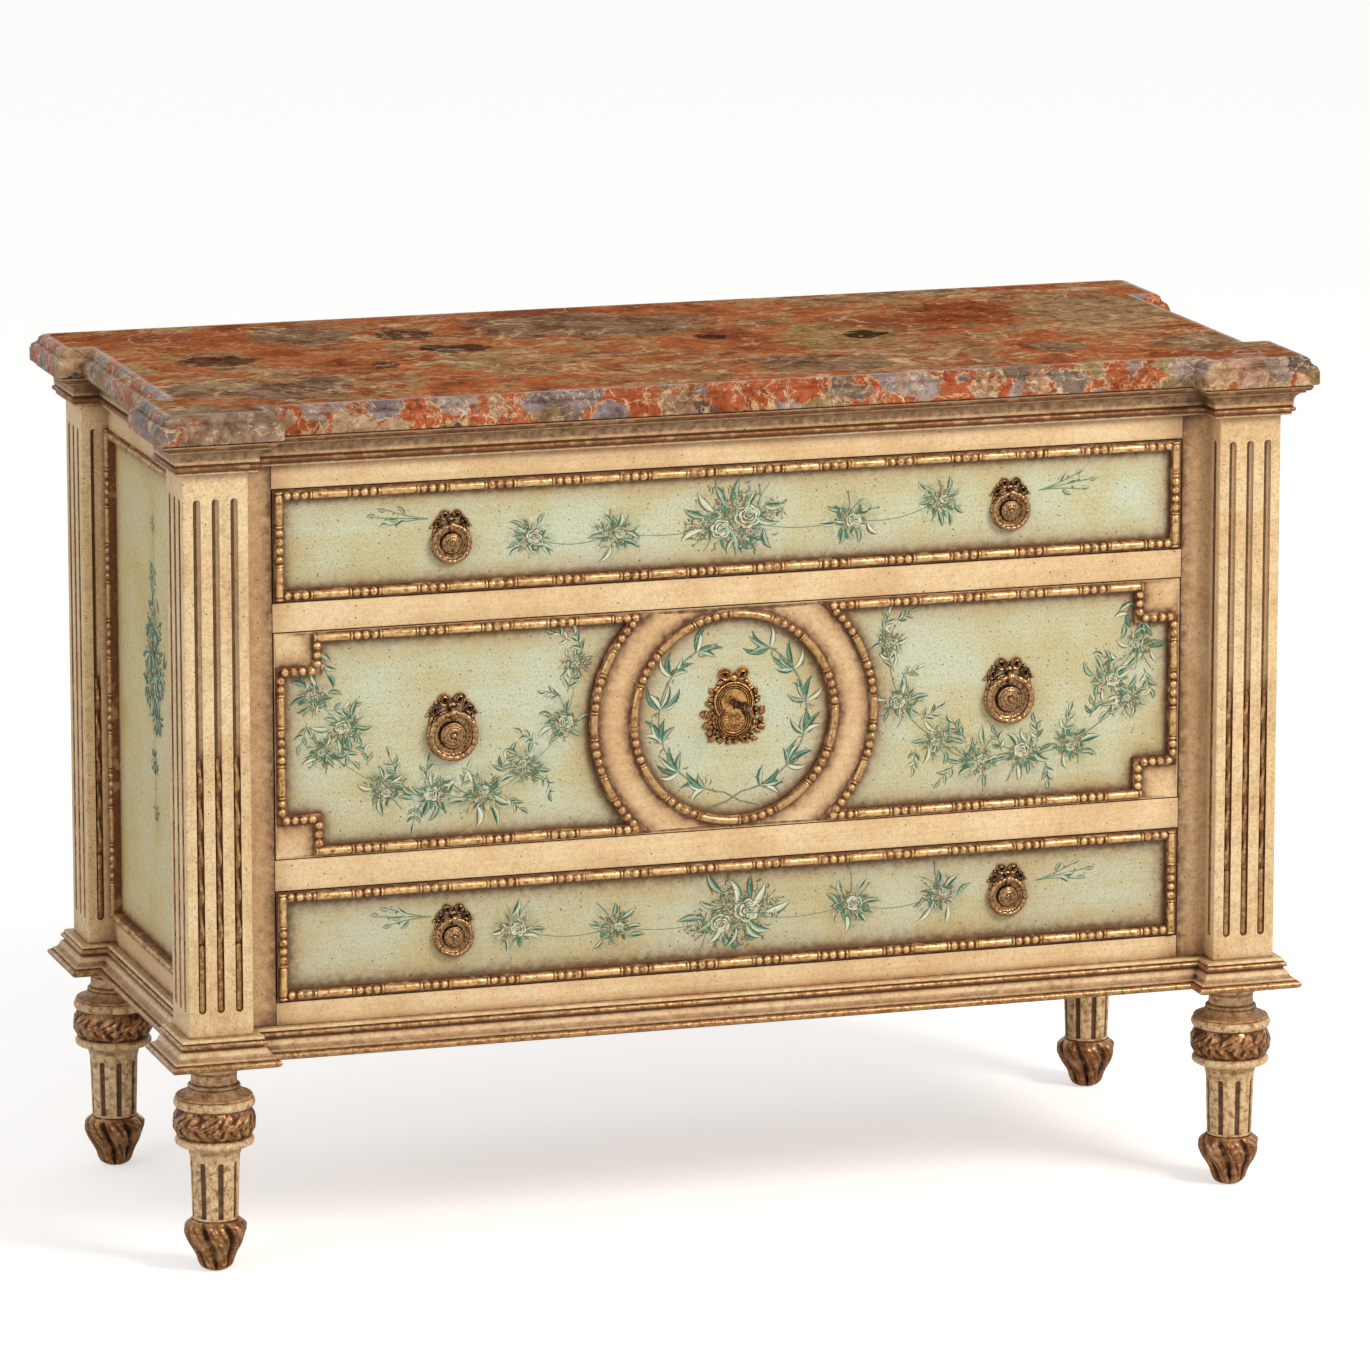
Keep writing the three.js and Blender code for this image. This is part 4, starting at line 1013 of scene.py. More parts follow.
def fluted_post(name, side, front):
    """side is -1 on the left; a left-hand post is the right-hand one in a mirror."""
    low, high = corners(f"post_{name}")
    outline = post_outline(front)
    rings, hollows = [], []
    for height in post_rows(low[2], high[2]):
        beyond = max(FLUTE_BOTTOM + FLUTE_RADIUS - height, height - FLUTE_TOP + FLUTE_RADIUS, 0.0)
        ring, ring_hollows = [], []
        for place, normal, offset in outline:
            depth = math.sqrt(max(FLUTE_RADIUS ** 2 - min(offset ** 2, 100.0) - beyond ** 2, 0.0))
            moved = place - normal * depth
            ring.append((side * moved[0], moved[1], height))
            # Painted shade with glaze: in the open upper flutes only one wall, the shaded one, is darkened;
            # the filled lower flutes are dark across; the stile darkens towards the drawer opening; the
            # post's ends darken where they meet other boards.
            near_end = height < low[2] + 2 or height > high[2] - 2
            filled_part = height < FILL_TOP
            in_flute = min(depth / 1.6, 1.0) if filled_part or offset * side < 0.1 * FLUTE_RADIUS else 0.0
            on_stile = abs(place[1] - FRONT) < 2.0 and place[0] < INNER_X - 0.5
            toward_drawer = (INNER_X - place[0]) / (INNER_X - OPENING_HALF)
            plain = 0.3 + 0.6 * toward_drawer if on_stile else 0.45 if near_end else 0.0
            ring_hollows.append(in_flute if depth > 0.3 else plain)
        rings.append(ring[::side])
        hollows.append(ring_hollows[::side])
    shape = Shape()
    shape.skin(rings, 0, np.concatenate(hollows), 0.26)
    new_piece(f"fluting_{name}", shape, [cream_upright], "carcass", [f"post_{name}"])


POSTS = [("front_left", -1, True), ("front_right", 1, True),
         ("back_left", -1, False), ("back_right", 1, False)]
for post in POSTS:
    fluted_post(*post)

# %% [markdown]
# ### Husks and rods in the flutes
# The lower half of every flute is filled. Above is a chain of husks, long petals that twist round each
# other, and below it a plain round rod. A rod whose radius swells and twists along its length is
# enough, because each one is only 6 mm wide.

# %% Husks and rods
ROD_RADIUS = 3.1
ROD_LENGTH = 74.0
HUSK_LENGTH = 40.0
HUSK_SIDES = 10


def husk_radius(height, turn):
    """Radius of the filling at a height above its foot, and at a turn round it."""
    if height < ROD_LENGTH:
        end = min(height, ROD_LENGTH - height)
        return ROD_RADIUS * math.sqrt(min(end / ROD_RADIUS, 1.0) * (2 - min(end / ROD_RADIUS, 1.0)))
    share = (height - ROD_LENGTH) / HUSK_LENGTH % 1.0
    swell = 0.55 + 0.5 * math.sin(math.pi * share ** 0.7)
    petals = 1 + 0.22 * math.cos(2 * turn - height * 0.16)
    return ROD_RADIUS * swell * petals


def fill_flutes(name, side, front):
    shape = Shape()
    span = FILL_TOP - FLUTE_BOTTOM - 1.0
    heights = np.concatenate((
        (0.4, 1.0, 2.0, 3.2), np.linspace(14, ROD_LENGTH - 14, 3),
        ROD_LENGTH - np.array((3.2, 2.0, 1.0, 0.4)), np.arange(ROD_LENGTH + 0.6, span - 0.5, 2.2), (span,),
    ))
    turns = full_turn(HUSK_SIDES)
    for x, y, face_x, face_y in flute_lines(front):
        centre = np.array((x, y)) - np.array((face_x, face_y)) * (ROD_RADIUS - 0.1)
        rings, hollows = [], []
        for height in heights:
            radii = np.array([husk_radius(height, turn) for turn in turns])
            if height == heights[-1]:
                radii = radii * 0.3
            ring = np.column_stack((
                on_circle(turns, radii, centre) * (side, 1.0),
                np.full(HUSK_SIDES, FLUTE_BOTTOM + 0.5 + height),
            ))
            rings.append(ring[::side])
            # Painted shade with glaze: the thin parts between husks and at the rod's ends are darker.
            hollows.append(np.clip(1.15 - radii[::side] / ROD_RADIUS, 0.1, 0.85))
        shape.skin(rings, 0, np.concatenate(hollows), 0.35)
    new_piece(f"husks_{name}", shape, [gold_leaf], "carcass")


for post in POSTS:
    fill_flutes(*post)

# %% [markdown]
# ## Rails between the drawers
# The four rails are plain painted boards. Their edges are rubbed round, and the upper edge holds a
# line of glaze and painted shade beside the gap over it, so each is a section with soft corners, drawn
# along the chest in short steps that carry the glaze and shade. The bolt of the lock rises into the rail
# over the middle drawer, so that rail has a mortise for it: over the bolt, the section is notched from
# below.

# %% Rails
RAIL_ARRIS = 0.9
RAIL_STEP = 26.0
BOLT_THROW = 8.0
BOLT_ROOM = 0.8


def soft_rectangle(low, high, radius, steps=3):
    """A rectangle in two axes with rounded corners, anticlockwise."""
    plan = np.array([(low[0], low[1]), (high[0], low[1]), (high[0], high[1]), (low[0], high[1])])
    return rounded_outline(plan, radius, steps)


def rail_stretches(name, low, high):
    """A rail has one section from end to end, but over the lock a mortise takes the bolt."""
    section = soft_rectangle(low[1:], high[1:], RAIL_ARRIS)
    if name != "rail_upper":
        return [(low[0], high[0], section)]
    bolt_low, bolt_high = corners("lock_bolt") + np.array([[-BOLT_ROOM], [BOLT_ROOM]])
    top = low[2] + BOLT_THROW + BOLT_ROOM
    mortise = [(bolt_low[1], low[2]), (bolt_low[1], top), (bolt_high[1], top), (bolt_high[1], low[2])]
    notched = np.insert(section, len(section) // 4, mortise, axis=0)
    return [(low[0], bolt_low[0], section), (bolt_low[0], bolt_high[0], notched),
            (bolt_high[0], high[0], section)]


def painted_rail(name):
    low, high = corners(name)
    shape = Shape()
    for start, end, section in rail_stretches(name, low, high):
        rings, hollows = [], []
        for x in np.linspace(start, end, max(2, round((end - start) / RAIL_STEP))):
            rings.append(np.column_stack((np.full(len(section), x), section)))
            to_end = min(x - low[0], high[0] - x)
            # Painted shade: the upper edge is darkened, beside the gap above the rail.
            upper_edge = section[:, 1] > high[2] - RAIL_ARRIS * 0.5
            hollows.append(np.where(upper_edge, 0.5, 0.0) + 0.4 * (to_end < 1))
        shape.skin(rings, 0, np.concatenate(hollows), 0.15)
    new_piece(f"painted_{name}", shape, [cream_across], "carcass", [name])


for rail in ("rail_bottom", "rail_lower", "rail_upper", "rail_top"):
    painted_rail(rail)

# %% [markdown]
# ## Beads and reels
# The gilt mouldings round the fields are carved in a rhythm: three round beads, a thin disc, a long
# reel, a disc, and again three beads. Everything is turned about one line, so a run is a rod whose
# radius follows the list of beads and reels. The rod lies half sunk in a narrow bed, and the bed steps
# down to the painted field. Every bead is cut by hand, so its size varies a little.

# %% Beads and reels
BEAD_RADIUS = 4.6
BEAD_PITCH = 9.5
BEAD_LIFT = 1.4
REEL_RADIUS = 4.15
DISC_HALF = 1.7
NECK_RADIUS = 2.3
REEL_LENGTH = 37.5
ROD_SIDES = 12
LIP = 1.3
hand = np.random.default_rng(7)


def rhythm(length, first_beads, last_beads, reel=REEL_LENGTH, beads_between=3):
    """Beads and reels that fill a run: a list of kind, middle and half length."""
    group = beads_between * BEAD_PITCH
    period = reel + 4 * DISC_HALF + group
    ends = (first_beads + last_beads) * BEAD_PITCH
    reels = max(1, round((length - ends + group) / period))
    stretch = (length - ends - (reels - 1) * group - reels * 4 * DISC_HALF) / reels
    items = []
    place = 0.0
    for index in range(reels + 1):
        count = first_beads if index == 0 else last_beads if index == reels else beads_between
        for _ in range(count):
            items.append(("bead", place + BEAD_PITCH / 2, BEAD_RADIUS))
            place += BEAD_PITCH
        if index < reels:
            items.append(("disc", place + DISC_HALF, DISC_HALF))
            items.append(("reel", place + 2 * DISC_HALF + stretch / 2, stretch / 2))
            items.append(("disc", place + 3 * DISC_HALF + stretch, DISC_HALF))
            place += stretch + 4 * DISC_HALF
    return items


def rod_samples(items):
    """Places along a run and the rod's radius there."""
    places, radii = [], []
    for kind, middle, half in items:
        if kind == "bead":
            size = half * hand.uniform(0.94, 1.03)
            turns = np.linspace(-1, 1, 9) * math.radians(84)
            offsets = np.sin(turns) * size
            sizes = np.maximum(np.cos(turns) * size, NECK_RADIUS)
        elif kind == "disc":
            offsets = np.array((-1.0, -0.55, 0.0, 0.55, 1.0)) * half * 0.85
            sizes = np.array((3.0, 4.3, 4.6, 4.3, 3.0)) * hand.uniform(0.96, 1.02)
        else:
            inner = np.linspace(-1, 1, max(3, round(half / 4))) * (half - 2.2)
            offsets = np.concatenate(((-half + 0.3, -half + 0.9), inner, (half - 0.9, half - 0.3)))
            belly = REEL_RADIUS * hand.uniform(0.97, 1.03, len(inner))
            sizes = np.concatenate(((3.2, 3.9), belly, (3.9, 3.2)))
        places.extend(middle + offsets)
        radii.extend(sizes)
    return np.array(places), np.array(radii)


def bead_rod(shape, items, track, lift, tone, place_point):
    """A rod along a track. track gives the middle line and the way across it at each place."""
    places, radii = rod_samples(items)
    turns = full_turn(ROD_SIDES)
    rings, hollows = [], []
    for place, radius in zip(places, radii):
        centre, across = track(place)
        aside = centre + np.outer(np.cos(turns) * radius, across)
        height = lift + np.sin(turns) * radius
        rings.append(place_point(aside, height))
        # Painted shade with glaze: the necks between beads and the underside of the rod, down by the bed, are
        # darkened.
        foot = np.clip(0.35 - np.sin(turns), 0.0, 1.0) * 0.6
        hollows.append(np.clip((REEL_RADIUS - 0.6 - radius) / 2.0, 0.0, 0.8) + foot)
    shape.skin(rings, 0, np.clip(np.concatenate(hollows), 0.0, 1.0), tone)


def straight_track(start, end):
    """A straight line with its way across, for a rod."""
    start = np.array(start, float)
    along = unit(np.array(end, float) - start)
    across = np.array((-along[1], along[0]))
    return lambda place: (start + along * place, across)


def arc_track(centre, radius, first_turn, way):
    """An arc with its way across, for a rod."""
    centre = np.array(centre, float)

    def at(place):
        turn = first_turn + way * place / radius
        spoke = np.array((math.cos(turn), math.sin(turn)))
        return centre + spoke * radius, spoke
    return at


def bead_bed(shape, outline_at, sink, tone, place_point):
    """The narrow bed under the rods: it follows the outline inside it and steps down to the field."""
    section = [(LIP, -0.3), (LIP, 0.6), (LIP + 0.5, 1.0), (BEAD_WIDTH - 0.9, 1.0), (BEAD_WIDTH, 0.4),
               (BEAD_WIDTH, -sink)]
    columns = len(outline_at(0.0))
    rings = [place_point(outline_at(inset), np.full(columns, height)) for inset, height in section]
    faces = grid_faces(len(rings), columns, wrap=True)
    # The bed under the rods is darkened all over, as glaze and painted shade.
    shape.add(rings, faces, 0, 0.7, tone)


def on_front(points, height):
    """Points in x and z on the front plane, raised towards the viewer."""
    return np.column_stack((points[:, 0], FRONT - height, points[:, 1]))


# %% [markdown]
# ## Drawer fronts
# A drawer front is a softwood board, painted on its face, with a sunk field of green inside the gilt
# moulding. The board's body lies behind the field plane. In front of it are the raised cream parts.
# The field is filled with triangles whose points are close together, so that the brown glaze and the
# painted shade beside the moulding can fade in from it, as glaze does where a rag can't reach.

# %% Filling a field
def signed_distance(outline, points):
    """Distance from points to a closed outline, positive inside it."""
    start = outline[None, :, :]
    edge = np.roll(outline, -1, axis=0)[None, :, :] - start
    offset = points[:, None, :] - start
    share = np.clip((offset * edge).sum(2) / (edge * edge).sum(2), 0.0, 1.0)
    distance = np.linalg.norm(offset - edge * share[:, :, None], axis=2).min(axis=1)
    crosses = (offset[:, :, 1] < 0) != (offset[:, :, 1] - edge[:, :, 1] < 0)
    safe = np.where(np.abs(edge[:, :, 1]) < 1e-12, 1.0, edge[:, :, 1])
    reach = offset[:, :, 0] - edge[:, :, 0] * offset[:, :, 1] / safe
    inside = (crosses & (reach < 0)).sum(axis=1) % 2 == 1
    return np.where(inside, distance, -distance)


def filled(outline, spacing, holes=()):
    """Points and triangles that fill an outline, with round holes left out."""
    outline = np.asarray(outline, float)
    low, high = outline.min(axis=0), outline.max(axis=0)
    across = np.arange(low[0] + spacing / 2, high[0], spacing)
    up = np.arange(low[1] + spacing / 2, high[1], spacing)
    inner = np.array([(x, z) for z in up for x in across])
    inner = inner[signed_distance(outline, inner) > spacing * 0.45]
    loops = [outline, *holes]
    for hole in holes:
        inner = inner[signed_distance(hole, inner) < -spacing * 0.45]
    edges = []
    start = 0
    for loop in loops:
        edges += [(start + index, start + (index + 1) % len(loop)) for index in range(len(loop))]
        start += len(loop)
    points = np.concatenate((*loops, inner))
    made = delaunay_2d_cdt([Vector(point) for point in points], edges, [], 1, 1e-5)
    points = np.array([tuple(point) for point in made[0]])
    faces = [tuple(face) for face in made[2]]
    if holes:
        middles = np.array([points[list(face)].mean(axis=0) for face in faces])
        keep = np.ones(len(faces), bool)
        for hole in holes:
            keep &= signed_distance(hole, middles) < 0
        faces = [face for face, kept in zip(faces, keep) if kept]
    return points, faces


# %% [markdown]
# ### Outlines of the fields
# The top and bottom drawers have one long field each. The middle drawer has a round medallion, and a
# field on each side with notched outer corners and an arc that runs round the medallion.

# %% Outlines
NOTCH_WIDTH = 40.0
NOTCH_HEIGHT = 35.0
ARC_STEPS = 40
MEDALLION_STEPS = 96


def field_outline(side, inset):
    """Field beside the medallion, moved in by an inset, anticlockwise seen from the front."""
    low, high = corners("bead_field_right")
    middle = (low[2] + high[2]) / 2
    full = (high[2] - low[2]) / 2
    half = full - inset
    arc_radius = math.hypot(low[0], full) + inset
    far_x = high[0] - inset
    notch_x = high[0] - NOTCH_WIDTH - inset
    notch_z = full - NOTCH_HEIGHT - inset
    points = [(notch_x, -half), (notch_x, -notch_z), (far_x, -notch_z), (far_x, notch_z)]
    points += [(notch_x, notch_z), (notch_x, half)]
    tip = math.asin(half / arc_radius)
    for turn in np.linspace(tip, -tip, ARC_STEPS):
        points.append((arc_radius * math.cos(turn), arc_radius * math.sin(turn)))
    outline = np.array([(side * x, middle + z) for x, z in points])
    return outline if side > 0 else outline[::-1]


def rectangle_at(low, high):
    """An upright rectangle that moves in by an inset."""
    def at(inset):
        (x0, z0), (x1, z1) = np.array(low) + inset, np.array(high) - inset
        return np.array([(x0, z0), (x1, z0), (x1, z1), (x0, z1)])
    return at


def drawer_outlines(drawer):
    """The outlines of a drawer's fields, each as a function of the inset."""
    if drawer == "middle":
        low, high = corners("bead_medallion")
        middle = (0.0, (low[2] + high[2]) / 2)
        reach = (high[0] - low[0]) / 2
        return {
            "field_left": lambda inset: field_outline(-1, inset),
            "field_right": lambda inset: field_outline(1, inset),
            "medallion": lambda inset: on_circle(full_turn(MEDALLION_STEPS), reach - inset, middle),
        }
    low, high = corners(f"bead_{drawer}")
    return {drawer: rectangle_at(low[[0, 2]], high[[0, 2]])}


# %% Boards and fields
GREEN, CREAM_FACE, WOOD = 0, 1, 2
FIELD_SPACING = 6.0
FACE_SPACING = 8.0
GLAZE_REACH = 13.0
# Painted shade: the lower drawers are darker all over, darker towards the bottom.
LOWER_DRAWER_SHADE = {"top": 0.0, "middle": 0.06, "bottom": 0.2}
DROP_BACK = 14.0
PAINTED = {
    "top": [(2, 776, 46), (-225, 768, 27), (-130, 768, 28), (131, 768, 29), (233, 783, 27)],
    "middle": [(side * x, z, size) for side in (-1, 1) for x, z, size in (
        (463, 612, 24), (428, 575, 26), (452, 553, 22), (385, 508, 28), (330, 500, 28), (278, 495, 30),
        (232, 522, 26), (190, 566, 26), (176, 632, 18))],
    "bottom": [(2, 346, 46), (-244, 346, 27), (-132, 340, 27), (133, 346, 29), (235, 350, 28)],
    "side": [(0, 761, 9), (-3, 702, 17), (4, 652, 30), (-12, 622, 34), (12, 606, 38), (-6, 580, 38),
             (8, 556, 26), (-2, 500, 14), (3, 446, 10)],
}


def side_bunches(side):
    """The drop hangs a little behind the middle of each panel."""
    return [(x + side * DROP_BACK, z, size) for x, z, size in PAINTED["side"]]


def wash_round(flowers, points):
    """How much wash lies at each point: full under a flower, gone at one and a half times its size."""
    wash = np.zeros(len(points))
    for x, z, size in flowers:
        reach = np.hypot(points[:, 0] - x, points[:, 1] - z) / size
        wash = np.maximum(wash, np.clip(1.2 - reach, 0.0, 1.0))
    return wash


def field_glaze_and_shade(distance):
    """Brown glaze and painted shade beside the moulding, fading inward."""
    return 0.85 * np.exp(-np.maximum(distance - BEAD_WIDTH, 0.0) / GLAZE_REACH)


def on_plane(points, depth):
    return np.column_stack((points[:, 0], np.full(len(points), depth), points[:, 1]))


def drawer_front(drawer):
    node = f"drawer_{drawer}_front"
    low, high = corners(node)
    shape = Shape()
    body = [(x, y, z) for y in (FIELD + 0.4, high[1]) for x, z in (
        (low[0], low[2]), (high[0], low[2]), (high[0], high[2]), (low[0], high[2]))]
    sides = [(0, 4, 5, 1), (1, 5, 6, 2), (2, 6, 7, 3), (3, 7, 4, 0), (4, 7, 6, 5), (0, 1, 2, 3)]
    shape.add(body, sides, WOOD)
    outlines = drawer_outlines(drawer)
    for outline_at in outlines.values():
        points, faces = filled(outline_at(BEAD_WIDTH - 1.0), FIELD_SPACING)
        glaze_and_shade = field_glaze_and_shade(signed_distance(outline_at(0.0), points)) + LOWER_DRAWER_SHADE[drawer]
        shape.add(on_plane(points, FIELD), faces, GREEN, glaze_and_shade, wash_round(PAINTED[drawer], points))
    border = soft_rectangle((low[0], low[2]), (high[0], high[2]), 0.8)
    raised_faces(shape, border, list(outlines.values()))
    new_piece(f"front_{drawer}", shape, [green_across, cream_across, softwood],
              f"drawer_{drawer}", [node])


def raised_faces(shape, border, outlines):
    """The cream face with the fields cut out of it, and the board's edge down to its body."""
    cuts = [outline_at(LIP + 1.2) for outline_at in outlines]
    points, faces = filled(border, FACE_SPACING, cuts)
    depths = [signed_distance(outline_at(0.0), points) for outline_at in outlines]
    nearest = np.min([np.abs(np.where(d > 0, 0.0, d)) for d in depths], axis=0)
    # Painted shade with glaze: the cream darkens next to the fields and along the board's edge, and its walls
    # down to the field are dark.
    glaze_and_shade = 1.1 * np.exp(-nearest / 8.0) + 0.35 * (signed_distance(border, points) < 2.5)
    shape.add(on_plane(points, FRONT), faces, CREAM_FACE, np.clip(glaze_and_shade, 0.0, 1.0), 0.25)
    walls = [on_plane(border, depth) for depth in (FRONT, FIELD + 0.4)]
    shape.add(walls, grid_faces(2, len(border), wrap=True), CREAM_FACE, 0.6)
    for cut in cuts:
        walls = [on_plane(cut, depth) for depth in (FRONT, FIELD + 0.4)]
        shape.add(walls, grid_faces(2, len(cut), wrap=True), CREAM_FACE, 1.0)


for drawer in ("top", "middle", "bottom"):
    drawer_front(drawer)

# %% [markdown]
# ### Gilt mouldings of the fields
# Upright runs pass through the corners, and the level runs butt against them. Round the medallion the
# groups of four beads and the reels go right round, and on the arcs they start with a bead at each tip.

# %% Gilt mouldings
ROUND_TONE = 0.35


def moulding_piece(name, build, body, node):
    shape = Shape()
    build(shape)
    new_piece(name, shape, [gold_leaf], body, [node], sharp=50.0)


def rectangle_runs(shape, low, high, tone, place_point, lift=BEAD_LIFT, level_beads=3):
    """Rods on the four sides of a rectangle, inside its edges."""
    inset = (BEAD_WIDTH + LIP) / 2
    x0, x1 = low[0] + inset, high[0] - inset
    z0, z1 = low[1] + inset, high[1] - inset
    upright = high[1] - low[1] - 2 * LIP
    level = x1 - x0 - 2 * REEL_RADIUS
    for x in (x0, x1):
        track = straight_track((x, low[1] + LIP), (x, high[1]))
        bead_rod(shape, rhythm(upright, 0, 0, beads_between=4), track, lift, tone, place_point)
    for z in (z0, z1):
        track = straight_track((x0 + REEL_RADIUS, z), (x1, z))
        items = rhythm(level, level_beads, level_beads)
        bead_rod(shape, items, track, lift, tone, place_point)


def long_field_moulding(shape, drawer):
    low, high = corners(f"bead_{drawer}")
    bead_bed(shape, drawer_outlines(drawer)[drawer], FIELD - FRONT, 0.0, on_front)
    rectangle_runs(shape, low[[0, 2]], high[[0, 2]], 0.0, on_front)


def side_field_moulding(shape, side):
    """Level runs, the notches, the upright run and the arc of a field beside the medallion."""
    bead_bed(shape, lambda inset: field_outline(side, inset), FIELD - FRONT, 0.1, on_front)
    low, high = corners("bead_field_right")
    middle = (low[2] + high[2]) / 2
    half = (high[2] - low[2]) / 2
    arc_radius = math.hypot(low[0], half)
    inset = (BEAD_WIDTH + LIP) / 2
    notch_x = high[0] - NOTCH_WIDTH - inset
    notch_z = half - NOTCH_HEIGHT - inset
    far_x = high[0] - inset

    def mirrored(points, height):
        return on_front(points * (side, 1.0), height)

    arc = arc_radius + inset
    tip = math.asin((half - inset) / arc)
    for way in (-1, 1):
        level = middle + way * (half - inset)
        start = arc * math.cos(tip) - 1.0
        track = straight_track((start, level), (far_x, level))
        length = notch_x - start + REEL_RADIUS
        bead_rod(shape, rhythm(length, 3, 0), track, BEAD_LIFT, 0.0, mirrored)
        drop = [("bead", BEAD_PITCH * (index + 0.5), BEAD_RADIUS) for index in range(3)]
        track = straight_track((notch_x, level - way * REEL_RADIUS), (notch_x, middle))
        bead_rod(shape, drop, track, BEAD_LIFT, 0.0, mirrored)
        shelf = middle + way * notch_z
        along = [("bead", BEAD_PITCH * (index + 0.5), BEAD_RADIUS) for index in range(4)]
        track = straight_track((notch_x + 2.0, shelf), (far_x + BEAD_RADIUS, shelf))
        bead_rod(shape, along, track, BEAD_LIFT, 0.0, mirrored)
    upright = 2 * notch_z - 2 * REEL_RADIUS
    track = straight_track((far_x, middle - upright / 2), (far_x, middle + upright / 2))
    bead_rod(shape, rhythm(upright, 2, 2, beads_between=4), track, BEAD_LIFT, 0.15, mirrored)
    length = 2 * tip * arc - BEAD_PITCH
    track = arc_track((0.0, middle), arc, -tip + BEAD_PITCH / 2 / arc, 1)
    bead_rod(shape, rhythm(length, 4, 4, beads_between=4), track, BEAD_LIFT, ROUND_TONE, mirrored)


def medallion_moulding(shape):
    low, high = corners("bead_medallion")
    bead_bed(shape, drawer_outlines("middle")["medallion"], FIELD - FRONT, ROUND_TONE, on_front)
    middle = (low[2] + high[2]) / 2
    radius = (high[0] - low[0]) / 2 - (BEAD_WIDTH + LIP) / 2
    track = arc_track((0.0, middle), radius, 0.4, 1)
    items = rhythm(2 * math.pi * radius, 0, 4, reel=40.0, beads_between=4)
    bead_rod(shape, items, track, BEAD_LIFT, ROUND_TONE, on_front)


moulding_piece("beading_top", lambda s: long_field_moulding(s, "top"), "drawer_top", "bead_top")
moulding_piece("beading_bottom", lambda s: long_field_moulding(s, "bottom"), "drawer_bottom", "bead_bottom")
moulding_piece("beading_left", lambda s: side_field_moulding(s, -1), "drawer_middle", "bead_field_left")
moulding_piece("beading_right", lambda s: side_field_moulding(s, 1), "drawer_middle", "bead_field_right")
moulding_piece("beading_medallion", medallion_moulding, "drawer_middle", "bead_medallion")

# %% [markdown]
# ## The sides
# Each side is a frame with a painted panel. The same beads and reels go round the panel, only browner.
# The frame's two rails are soft-edged boards, and the panel is a field like those of the drawers.

# %% Sides
SIDE_TONE = 0.5
SIDE_RAIL_HEIGHTS = (25.0, 26.0)
RAIL_LAP = 4.0
PANEL_THICKNESS = 12.0


def chest_side(name, side):
    low, high = corners(f"side_frame_{name}")
    y0, y1, z0, z1 = low[1], high[1], low[2], high[2]
    inner = SIDE - (high[0] - low[0] - BEAD_PROUD)
    window_at = rectangle_at((y0, z0 + SIDE_RAIL_HEIGHTS[0]), (y1, z1 - SIDE_RAIL_HEIGHTS[1]))
    window = window_at(0.0)

    def on_side(points, height):
        out = np.broadcast_to(side * (SIDE + height), len(points))
        return np.column_stack((out, side * points[:, 0], points[:, 1]))

    rails = Shape()
    for bottom, top in ((z0, window[0][1] + RAIL_LAP), (window[2][1] - RAIL_LAP, z1)):
        section = soft_rectangle((inner, bottom), (SIDE, top), RAIL_ARRIS)
        rings = [np.column_stack((side * section[::side, 0], np.full(len(section), y), section[::side, 1]))
                 for y in np.linspace(y1, y0, 16)]
        rails.skin(rings, 0, 0.3)
    new_piece(f"side_rails_{name}", rails, [cream_across], "carcass",
              [f"side_frame_{name}"])

    beading = Shape()
    bead_bed(beading, window_at, SIDE - SIDE_FIELD, SIDE_TONE, on_side)
    rectangle_runs(beading, window[0], window[2], SIDE_TONE, on_side)
    new_piece(f"beading_side_{name}", beading, [gold_leaf], "carcass", sharp=50.0)

    panel = Shape()
    edge = window_at(BEAD_WIDTH - 1.0)
    points, faces = filled(edge, FIELD_SPACING)
    # Painted shade and glaze beside the moulding, as on the drawers.
    glaze_and_shade = field_glaze_and_shade(signed_distance(window, points))
    panel.add(on_side(points, SIDE_FIELD - SIDE), faces, 0, glaze_and_shade, wash_round(side_bunches(side), points))
    depth = SIDE_FIELD - PANEL_THICKNESS - SIDE
    rings = [on_side(edge, np.full(4, height)) for height in (SIDE_FIELD - SIDE, depth)]
    panel.add(rings, grid_faces(2, 4, wrap=True) + [(4, 5, 6, 7)], 1)
    new_piece(f"painted_panel_{name}", panel, [green_upright, softwood], "carcass",
              [f"side_panel_{name}"])


chest_side("left", -1)
chest_side("right", 1)

# %% [markdown]
# ## Turned and carved legs
# A leg is turned on the lathe first: bud, fluted shaft, carved ring between two cream fillets, neck and
# collar. The carver then cuts leaves into the bud and the ring. So the mesh is a turned profile with
# the carving added to its radius, as a function of the height and the turn. The collar over the ring
# is cream like the shaft, but coloured darker, so it has a finish number of its own in the profile.

